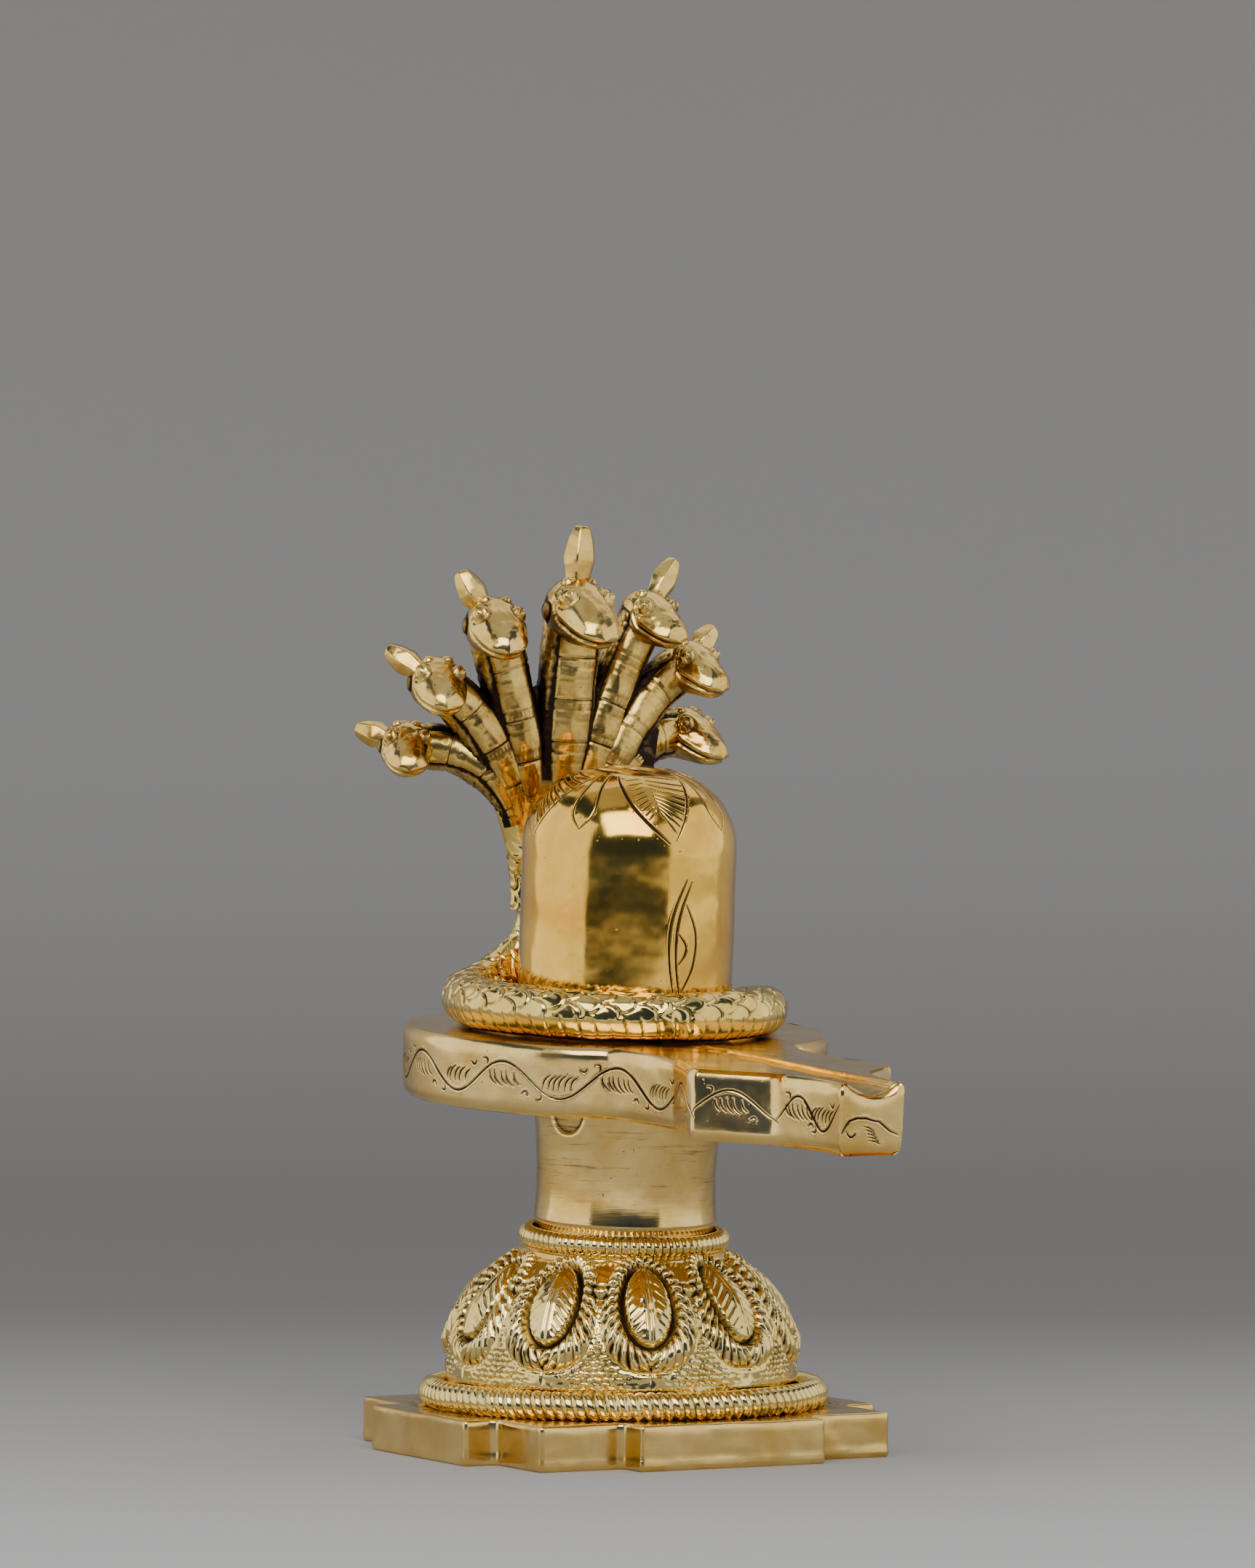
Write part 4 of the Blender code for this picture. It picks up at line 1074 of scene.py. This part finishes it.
# %% [markdown]
# The sweep lays an oval ring of points across the path at even steps. Its long side is found from
# a direction that always looks away from the coil's middle, and the rings don't twist. The belly
# side turns from under the coil to the front of the hood.

# %% Swept body
def sweep(path, thick, wide, outward_of, columns, spacing):
    """Even rows along a path; returns points, outward directions, run and angle."""
    run = np.concatenate([[0.0], np.cumsum(np.linalg.norm(np.diff(path, axis=0), axis=1))])
    rows = int(run[-1] / spacing)
    at = np.linspace(0.0, run[-1], rows)
    centre = np.stack([np.interp(at, run, path[:, k]) for k in range(3)], -1)
    for _ in range(8):
        centre[1:-1] = 0.25 * centre[:-2] + 0.5 * centre[1:-1] + 0.25 * centre[2:]
    along = np.gradient(centre, axis=0)
    along /= np.linalg.norm(along, axis=1, keepdims=True)
    outward = outward_of(centre)
    outward -= along * (along * outward).sum(1, keepdims=True)
    outward /= np.linalg.norm(outward, axis=1, keepdims=True)
    sideways = np.cross(along, outward)
    a = np.linspace(0.0, 2.0 * math.pi, columns, endpoint=False)
    ca, sa = np.cos(a), np.sin(a)
    t = np.interp(at, run, thick)[:, None, None]
    w = np.interp(at, run, wide)[:, None, None]
    across = outward[:, None] * ca[None, :, None]
    over = sideways[:, None] * sa[None, :, None]
    points = centre[:, None] + across * t + over * w
    normal = across / t + over / w
    normal /= np.linalg.norm(normal, axis=-1, keepdims=True)
    run_grid = np.repeat(at[:, None], columns, 1)
    angle_grid = np.repeat(a[None, :], rows, 0)
    return points, normal, run_grid, angle_grid, t[..., 0], w[..., 0]


def from_axis(centre):
    """Horizontal directions away from the coil's axis."""
    away = np.column_stack([centre[:, 0], centre[:, 1] - DISC_BACK, np.zeros(len(centre))])
    rising = step(SEAT + 6.0, SEAT + 16.0, centre[:, 2])
    away[:, 0] *= 1.0 - rising
    return away


points, normal, run_grid, angle, t, w = sweep(path, thick, wide, from_axis, 112, 0.28)
size = np.sqrt((t * t + w * w) / 2.0)
belly_way = np.interp(run_grid, (0.0, body_run[150], body_run[185]), (-1.05, -1.05, -math.pi))
round_from_belly = np.mod(angle - belly_way + math.pi, 2.0 * math.pi) - math.pi
from_spine = np.sign(round_from_belly) * (math.pi - np.abs(round_from_belly))
across = from_spine * COIL_HALF_WIDE * np.maximum(1.0, 0.55 * w / COIL_HALF_WIDE)
belly = 1.0 - step(0.95, 1.15, np.abs(round_from_belly))
scales, scale_dark = scale_relief(run_grid, across)
fan_share = step(SEAT + 26.0, SEAT + 34.0, points[..., 2])
scute_phase = np.mod(run_grid / 2.5 + 0.35 * np.cos(round_from_belly * 1.3), 1.0)
scute_cut = bump(np.minimum(scute_phase, 1.0 - scute_phase) * 2.5, 0.17)
fade = step(2.0, 12.0, run_grid)
height = (1.0 - belly) * (scales * (1.0 - fan_share) - 0.1)
height -= belly * 0.2 * scute_cut * (1.0 - 0.9 * fan_share)
height = height * fade + 0.12 * wobble(points, 8.0, 71)
hollow = (1.0 - belly) * scale_dark * (1.0 - fan_share)
hollow += belly * scute_cut * 0.7 * (1.0 - 0.8 * fan_share)
hollow += 0.85 * step(SEAT + 38.0, SEAT + 43.0, points[..., 2])
points += normal * height[..., None]
faces = grid_faces(points.shape[0], points.shape[1], True).tolist()
faces.append(list(range(points.shape[1])))
last = (points.shape[0] - 1) * points.shape[1]
faces.append(list(range(last + points.shape[1] - 1, last - 1, -1)))
make_piece("serpent_body", "naga", points, faces, scale_brass, hollow)

# %% [markdown]
# ## The seven throats
# Above the neck the hood splits into seven throats, like fingers. Each is round at the back and
# flat in front, where bands of small punched ridges cross it. The gaps between them were never
# polished. How dark a point is follows from how near it lies to the neighbouring throat, which
# is what decides whether a polishing mop can reach it. Each throat is a sweep of its own that
# narrows to its root and sinks into the hood there.

# %% Fan of throats
FAN_ROOT_RISE, FAN_ROOT_HALF, FAN_ROOT_ASIDE = 34.0, 8.8, -3.0
# Name, centre over the seat, share of the fan's root, where the throat arrives from,
# the crest's lean, the turn outward in degrees and the size
seven = [
    ("far_left", (-28.6, 33.6, 47.2), -0.9, (9.5, -2.5, 0.6), (-6.9, 6.0, 3.0), -22.0, 0.95),
    ("far_right", (26.1, 33.6, 49.4), 1.0, (-9.5, -2.5, 0.6), (6.9, 6.0, 3.0), 22.0, 1.0),
    ("outer_left", (-25.9, 28.0, 58.6), -0.74, (6.5, 0.0, -3.2), (-6.7, 6.0, 5.8), -14.0, 1.0),
    ("outer_right", (23.6, 28.0, 61.8), 0.74, (-9.0, 0.0, -4.2), (7.4, 3.2, 6.6), 14.0, 1.0),
    ("inner_left", (-15.9, 26.2, 68.9), -0.46, (2.6, 1.2, -7.4), (-5.5, 2.6, 9.4), -11.0, 1.08),
    ("inner_right", (14.2, 26.2, 70.6), 0.46, (-4.6, 1.2, -7.2), (7.1, 2.6, 10.0), 11.0, 1.0),
    ("middle", (-1.3, 23.3, 71.8), 0.07, (-0.3, 1.5, -8.0), (1.3, 0.6, 14.9), 0.0, 1.22)]
fan = [(name, np.array(place) + (0.0, 0.0, SEAT), root, np.array(arrive), np.array(crest),
        math.radians(turn), size) for name, place, root, arrive, crest, turn, size in seven]

throat_paths = {}
shares = np.linspace(0.0, 1.0, 40)
for name, centre, root, arrive, *_ in fan:
    foot = np.array([FAN_ROOT_ASIDE + root * FAN_ROOT_HALF, NECK_BACK - 0.9, SEAT + FAN_ROOT_RISE])
    lead = foot + (centre[0] * 0.14, 0.0, 12.0)
    throat_paths[name] = np.array([bezier(foot, lead, centre + arrive, centre, s) for s in shares])


def nearness(points, name):
    """How near points of one throat lie to any other throat, 0 to 1."""
    gap = np.full(points.shape[:-1], 99.0)
    for other, *_, size in fan:
        if other == name:
            continue
        for spot in throat_paths[other][::3]:
            gap = np.minimum(gap, np.linalg.norm(points - spot, axis=-1) - 4.1 * size)
    return 1.0 - step(-1.4, 2.6, gap)


def on_web(x, rise):
    """1 where a place to the side and over the seat lies on the hood or its web, 0 beyond."""
    half = np.interp(rise, (18.0, 24.0, 30.0, 36.0, 40.5, 50.5), (10.6, 11.1, 12.6, 14.8, 16.5, 18.0))
    half = half * np.sqrt(np.clip((61.0 - rise) / 10.5, 0.02, 1.0))
    return 1.0 - step(-0.5, 2.0, np.abs(x) - half)


def to_back(centre):
    """Directions to the back of the piece, one for each row of a throat."""
    return np.tile((0.0, 1.0, 0.0), (len(centre), 1))


# %% Throats
THROAT_RADIUS, BAND_PITCH = 4.3, 7.6
for name, *_, size in fan:
    line = throat_paths[name]
    reach = THROAT_RADIUS * size * (0.5 + 0.5 * step(0.0, 0.42, shares))
    points, normal, run_grid, angle, *_ = sweep(line, reach * 0.95, reach, to_back, 64, 0.34)
    front = np.abs(np.mod(angle, 2.0 * math.pi) - math.pi)
    belly = 1.0 - step(0.8, 0.95, front)
    length = run_grid.max()
    # Ladder bands: two cut lines with punched ridges between, and smooth panels with two commas
    from_band = (np.mod((length - run_grid) / BAND_PITCH + 0.35, 1.0) - 0.5) * BAND_PITCH
    lines = bump(np.abs(from_band) - 0.75, 0.17) + 0.3 * bump(from_band - 2.9, 0.13)
    rungs = bump(from_band, 0.45) * np.abs(np.sin(angle * 4.2 * size * math.pi / 0.8)) ** 2
    commas = bump(np.hypot(np.abs(from_band) - 1.7, (front - 0.2) * 4.2) - 0.55, 0.13) * (front > 0.2)
    seam = bump(front - 0.9, 0.1)
    stipple = np.clip(-wobble(points, 1.2, 81), -0.3, 1.0)
    height = belly * (-0.2 * lines - 0.16 * rungs - 0.14 * commas) - 0.35 * belly * np.cos(front) ** 2
    height += -0.35 * seam - 0.2 * (1.0 - belly) * stipple - 0.15 * (1.0 - belly) * lines
    height += 0.1 * wobble(points, 5.0, 82)
    points += normal * height[..., None]
    close = nearness(points + 1.6 * normal, name)
    webbed = on_web(points[..., 0], points[..., 2] - SEAT)
    patina = (1.0 - belly) * (0.3 + 0.35 * np.clip(stipple, 0.0, 1.0)) + 0.12 * webbed
    cuts = belly * (0.8 * lines + 0.5 * rungs + 0.5 * commas)
    hollow = 0.95 * close * step(0.6, 1.0, front) + 0.75 * seam + cuts + patina
    faces = grid_faces(points.shape[0], points.shape[1], True)
    make_piece("throat_" + name, "naga", points, faces, throat_brass, hollow)

# %% [markdown]
# ## The heads
# Each head is a blunt wedge: domed at the back, broad at the eyes, with a rounded jaw and a mouth
# cut from the snout back in a slight smile. Eyes, brows and cheeks are small knobs, the snout
# has a few drilled pits, and a faceted bud stands on the crown. One recipe makes all seven, at
# their own sizes; the knobs are hills added to the same skin, so they grow out of it.

# %% One head
DROOP = math.radians(21.0)
SQUARENESS = 0.2


def head_axes(turn):
    """Directions of the nose, the right side and the crown of a head turned outward."""
    nose = np.array([math.sin(turn) * math.cos(DROOP), -math.cos(turn) * math.cos(DROOP), -math.sin(DROOP)])
    side = np.array([math.cos(turn), math.sin(turn), 0.0])
    return nose, side, np.cross(nose, side)


def head_skin(centre, turn, size, seed):
    """Grid of points and hollow for one head."""
    nose, side, over = head_axes(turn)
    r, reach = 4.5 * size, 8.2 * size
    t = np.linspace(-0.62, 1.32, 74)
    a = np.linspace(0.0, 2.0 * math.pi, 88, endpoint=False)
    t_grid, a_grid = np.meshgrid(t, a, indexing="ij")
    stops = (-0.62, -0.5, -0.3, 0.0, 0.35, 0.7, 1.0, 1.2, 1.29, 1.32)
    half_wide = np.interp(t_grid, stops, (0.1, 0.6, 0.92, 1.06, 1.05, 0.92, 0.78, 0.58, 0.34, 0.02))
    top = np.interp(t_grid, stops, (0.1, 0.6, 0.95, 1.1, 1.0, 0.8, 0.6, 0.42, 0.24, 0.01))
    jaw = np.interp(t_grid, stops, (0.1, 0.6, 0.92, 1.0, 0.86, 0.7, 0.55, 0.4, 0.24, 0.01))
    for _ in range(26):
        for field in (half_wide, top, jaw):
            field[1:-1] = 0.25 * field[:-2] + 0.5 * field[1:-1] + 0.25 * field[2:]
    ca, sa = np.cos(a_grid), np.sin(a_grid)
    square = (np.abs(ca) ** 3 + np.abs(sa) ** 3) ** (-1.0 / 3.0)
    fuller = 1.0 - SQUARENESS + SQUARENESS * square
    across = r * half_wide * ca * fuller
    up = r * np.where(sa > 0.0, top, jaw) * sa * fuller
    forward = reach * t_grid
    points = centre + forward[..., None] * nose + across[..., None] * side + up[..., None] * over
    lean_out = 0.6 * step(0.7, 1.3, t_grid) - 0.5 * (1.0 - step(-0.6, -0.2, t_grid))
    normal = ca[..., None] * side + sa[..., None] * over + lean_out[..., None] * nose
    normal /= np.linalg.norm(normal, axis=-1, keepdims=True)
    height = np.zeros(t_grid.shape)
    hollow = np.zeros(t_grid.shape)

    def knob(along, aside, tall, round_mm, lift, ring=0.0):
        """Height and hollow of a round spot raised or drilled on both sides of the head."""
        rise = np.zeros(t_grid.shape)
        shade = np.zeros(t_grid.shape)
        for sign in (-1.0, 1.0):
            spot = (forward - reach * along, across - sign * r * aside, up - r * tall)
            d = np.sqrt(spot[0] ** 2 + spot[1] ** 2 + spot[2] ** 2)
            rise += lift * np.sqrt(np.clip(1.0 - (d / round_mm) ** 2, 0.0, 1.0))
            rise -= ring * bump(d - round_mm * 1.15, 0.18)
            shade += 0.9 * (lift < 0.0) * (d < round_mm)
            shade += 0.7 * (ring > 0.0) * bump(d - round_mm * 1.1, 0.2)
        return rise, shade

    # Eyes with their pupils, bumps behind them, cheeks, and pits drilled in the snout
    knobs = ((0.34, 0.7, 0.7, 1.4 * size, 0.95 * size, 0.42),
             (0.42, 0.76, 0.76, 0.6 * size, 0.35 * size, 0.25),
             (-0.05, 0.4, 0.98, 0.95 * size, 0.6 * size, 0.16),
             (0.16, 0.75, 0.8, 0.8 * size, 0.35 * size, 0.1),
             (0.0, 1.0, 0.0, 1.4 * size, 0.5 * size, 0.1),
             (1.1, 0.3, 0.3, 0.26, -0.4),
             (0.98, 0.55, 0.2, 0.24, -0.4),
             (0.82, 0.4, 0.6, 0.24, -0.35),
             (0.7, 0.7, 0.3, 0.2, -0.3))
    for spot in knobs:
        rise, shade = knob(*spot)
        height += rise
        hollow += shade
    # The mouth: a groove low on the sides that rises a little toward the cheeks
    level = 0.06 - 0.2 * t_grid + 0.4 * (1.0 - step(0.1, 0.5, t_grid))
    mouth = bump(up / r - level, 0.08) * step(0.12, 0.3, t_grid) * (1.0 - step(1.24, 1.3, t_grid))
    lip = bump(up / r - level - 0.22, 0.12) * step(0.15, 0.4, t_grid) * (1.0 - step(1.2, 1.3, t_grid))
    height = height - 0.7 * mouth + 0.3 * lip
    hollow = hollow + 1.0 * mouth + 0.55 * (up < level * r - 0.6) * (1.0 - step(0.9, 1.2, t_grid))
    brow = bump(up / r - 0.88, 0.08) * bump(t_grid - 0.42, 0.2) * step(0.2, 0.35, np.abs(across / r))
    height += 0.22 * brow
    # Fine cuts across the back of the head
    cuts = np.abs(np.sin(math.pi * (t_grid + 0.62) * reach / 0.75)) ** 3
    cuts = cuts * step(0.0, -0.1, t_grid) * step(-0.5, -0.4, t_grid)
    height -= 0.12 * cuts
    hollow += 0.45 * cuts
    skin = 0.1 * wobble(points, 4.2, seed) + 0.03 * wobble(points, 1.4, seed + 10)
    points += normal * (height + skin)[..., None]
    return points, hollow


def crest_bud(centre, crest, size):
    """A faceted bud: points in loops of six."""
    rise = crest / np.linalg.norm(crest)
    cross = np.cross(rise, (0.0, 1.0, 0.0))
    cross /= np.linalg.norm(cross)
    deep = np.cross(rise, cross)
    length = np.linalg.norm(crest)
    rows = []
    wide = 2.6 * size
    steps = ((0.3, 0.78), (0.42, 0.8), (0.5, 0.9), (0.58, 0.99), (0.63, 1.0), (0.72, 0.92),
             (0.82, 0.82), (0.92, 0.64), (0.975, 0.52), (1.0, 0.34))
    for t, share in steps:
        ring = []
        for k in range(6):
            a = 2.0 * math.pi * k / 6
            ring.append(centre + rise * length * t + cross * (wide * share * math.cos(a))
                        + deep * (wide * 0.8 * share * math.sin(a)))
        rows.append(ring)
    return np.array(rows)


# %% Seven heads and their buds
for number, (name, centre, root, arrive, crest, turn, size) in enumerate(fan):
    points, hollow = head_skin(centre, turn, size, 90 + number)
    make_piece("head_" + name, "naga", points, grid_faces(*points.shape[:2], True), head_brass, hollow)
    rows = crest_bud(centre, crest, size)
    faces = grid_faces(rows.shape[0], 6, True).tolist()
    faces.append(list(range((rows.shape[0] - 1) * 6, rows.shape[0] * 6)))
    bud = make_piece("crest_" + name, "naga", rows, faces, head_brass, np.zeros(rows.shape[:2]) + 0.12)
    soften = bud.modifiers.new("soften", "BEVEL")
    soften.width = 0.22 * MM
    soften.segments = 3
    soften.limit_method = "ANGLE"
    soften.angle_limit = math.radians(12.0)

# %% [markdown]
# ## Floor, light and camera
# Polished metal shows the room, so the light is built like a tabletop studio. A large soft panel
# stands at each side, a bright one hangs over the front, and two weak ones light the top and the
# back. Toward the camera is a dim gap. It draws the dark upright band down the middle of the
# pillar and the small windows on the neck and the shoulder, which read as round mirrors.

# %% Floor
def paper_with_painted_light(name, dark, light):
    """Matte paper whose grey follows painted light and shade kept in a point attribute."""
    finish = bpy.data.materials.new(name)
    finish.use_nodes = True
    tree = finish.node_tree
    shader = tree.nodes["Principled BSDF"]
    painted_light = add(tree, "ShaderNodeAttribute", attribute_name="painted_light").outputs["Fac"]
    paper = add(tree, "ShaderNodeMix", {0: painted_light, 6: linear(dark), 7: linear(light)}, data_type="RGBA")
    tree.links.new(paper.outputs[2], shader.inputs["Base Color"])
    shader.inputs["Roughness"].default_value = 0.9

    # From its back the paper is clear, so that the piece can be looked at from behind
    back = add(tree, "ShaderNodeNewGeometry").outputs["Backfacing"]
    clear = add(tree, "ShaderNodeBsdfTransparent")
    sheet = add(tree, "ShaderNodeMixShader", {0: back, 1: shader.outputs[0], 2: clear.outputs[0]})
    tree.links.new(sheet.outputs[0], tree.nodes["Material Output"].inputs["Surface"])
    return finish


VIEW_TURN = math.radians(28.0)
TOWARD = Vector((-math.sin(VIEW_TURN), -math.cos(VIEW_TURN), 0.0))
ACROSS = Vector((math.cos(VIEW_TURN), -math.sin(VIEW_TURN), 0.0))


def studio_card(name):
    """A table of paper that sweeps up behind the piece in one curve; its grey is painted light and shade,
    dark at the back and up the sweep, lighter toward the front and beside the side panels.
    """
    columns = 17
    rows = []
    for t in np.linspace(0.0, 1.0, 60):
        if t < 0.5:
            rows.append((0.535 - 0.835 * (t / 0.5), 0.0))
        elif t < 0.75:
            a = (t - 0.5) / 0.25 * math.pi / 2.0
            rows.append((-0.3 - 0.3 * math.sin(a), 0.3 - 0.3 * math.cos(a)))
        else:
            rows.append((-0.6, 0.3 + (t - 0.75) / 0.25 * 1.4))
    verts, painted_light_values = [], []
    for near, up in rows:
        # Painted light and shade on the paper: darker toward the back and up the sweep, lighter toward the
        # front, lighter still beside the side panels.
        painted_light = 0.4 * step(-0.42, 0.25, near) + 0.6 * step(0.24, 0.34, near)
        if up > 0.03:
            painted_light = 0.1 * step(0.0, 0.12, up)
        for aside in np.linspace(-1.6, 1.6, columns):
            place = TOWARD * near + ACROSS * aside
            verts.append((place.x, place.y, up))
            painted_light_values.append(float(min(painted_light + 0.5 * step(0.25, 0.5, abs(aside)), 1.0)))
    mesh = bpy.data.meshes.new(name)
    mesh.from_pydata(verts, [], grid_faces(len(rows), columns, False).tolist())
    mesh.shade_smooth()
    mesh.attributes.new("painted_light", "FLOAT", "POINT").data.foreach_set("value", painted_light_values)
    mesh.materials.append(paper_with_painted_light("grey paper with painted light and shade", "#6a6864", "#e9e6e1"))
    card = bpy.data.objects.new(name, mesh)
    bpy.context.scene.collection.objects.link(card)
    return card


studio_card("studio_floor")

# %% [markdown]
# Each panel is placed by its turn and rise as seen from the piece, and its strength is given as
# the brightness of its face, because that is what the metal mirrors. A larger panel then only
# makes a wider highlight, not a brighter one.

# %% Light
def soft_panel(name, turn_deg, rise_deg, reach, wide, tall, radiance):
    """A large area light at angles round from and above the camera's direction."""
    turn, rise = math.radians(turn_deg), math.radians(rise_deg)
    level = TOWARD * math.cos(turn) + ACROSS * math.sin(turn)
    way = level * math.cos(rise) + Vector((0.0, 0.0, math.sin(rise)))
    aim = Vector((0.0, 0.0, 0.09))
    light = bpy.data.lights.new(name, "AREA")
    light.shape = "RECTANGLE"
    light.size, light.size_y = wide, tall
    light.energy = radiance * math.pi * wide * tall
    panel = bpy.data.objects.new(name, light)
    panel.location = aim + way * reach
    panel.rotation_euler = (-way).to_track_quat("-Z", "Y").to_euler()
    bpy.context.scene.collection.objects.link(panel)
    print(name, "is", round(wide, 2), "by", round(tall, 2), "m")
    return panel


# Turn and rise in degrees, then distance, width and height in metres, then brightness
soft_panel("panel_left", -86.0, 14.0, 0.9, 1.72, 1.1, 1.4)
soft_panel("panel_right", 86.0, 14.0, 0.9, 1.72, 1.1, 1.25)
soft_panel("panel_front_top", 0.0, 40.0, 1.1, 1.0, 0.74, 5.0)
soft_panel("panel_back_top", 180.0, 56.0, 0.68, 0.9, 0.4, 0.9)
soft_panel("panel_top", 0.0, 89.0, 1.1, 1.1, 0.9, 0.5)
world = bpy.data.worlds.new("dim room")
world.use_nodes = True
world.node_tree.nodes["Background"].inputs["Color"].default_value = linear("#5f7cb8")
world.node_tree.nodes["Background"].inputs["Strength"].default_value = 0.27
bpy.context.scene.world = world

# %% [markdown]
# The picture was taken with a long lens from the spout's left and almost level, so the plate's
# top shows only as a thin strip. The camera's angles and distance were fitted to the outline.

# %% Camera
SENSOR_MM, FRAME_HEIGHT, FOCAL_PIXELS = 36.0, 2156.0, 12000.0
PITCH, ROLL = math.radians(0.92), math.radians(0.19)
DISTANCE, AIM_HEIGHT, AIM_ASIDE = 1.5211, 0.11601, 0.000375
look = -TOWARD * math.cos(PITCH) - Vector((0.0, 0.0, math.sin(PITCH)))
over = ACROSS.cross(look)
right = ACROSS * math.cos(ROLL) + over * math.sin(ROLL)
upward = over * math.cos(ROLL) - ACROSS * math.sin(ROLL)
lens = bpy.data.cameras.new("camera")
lens.lens = FOCAL_PIXELS * SENSOR_MM / FRAME_HEIGHT
lens.sensor_width = SENSOR_MM
lens.clip_end = 20.0
camera = bpy.data.objects.new("camera", lens)
pose = Matrix((right, upward, -look)).transposed().to_4x4()
pose.translation = ACROSS * AIM_ASIDE + Vector((0.0, 0.0, AIM_HEIGHT)) - look * DISTANCE
camera.matrix_world = pose
bpy.context.scene.collection.objects.link(camera)
bpy.context.scene.camera = camera
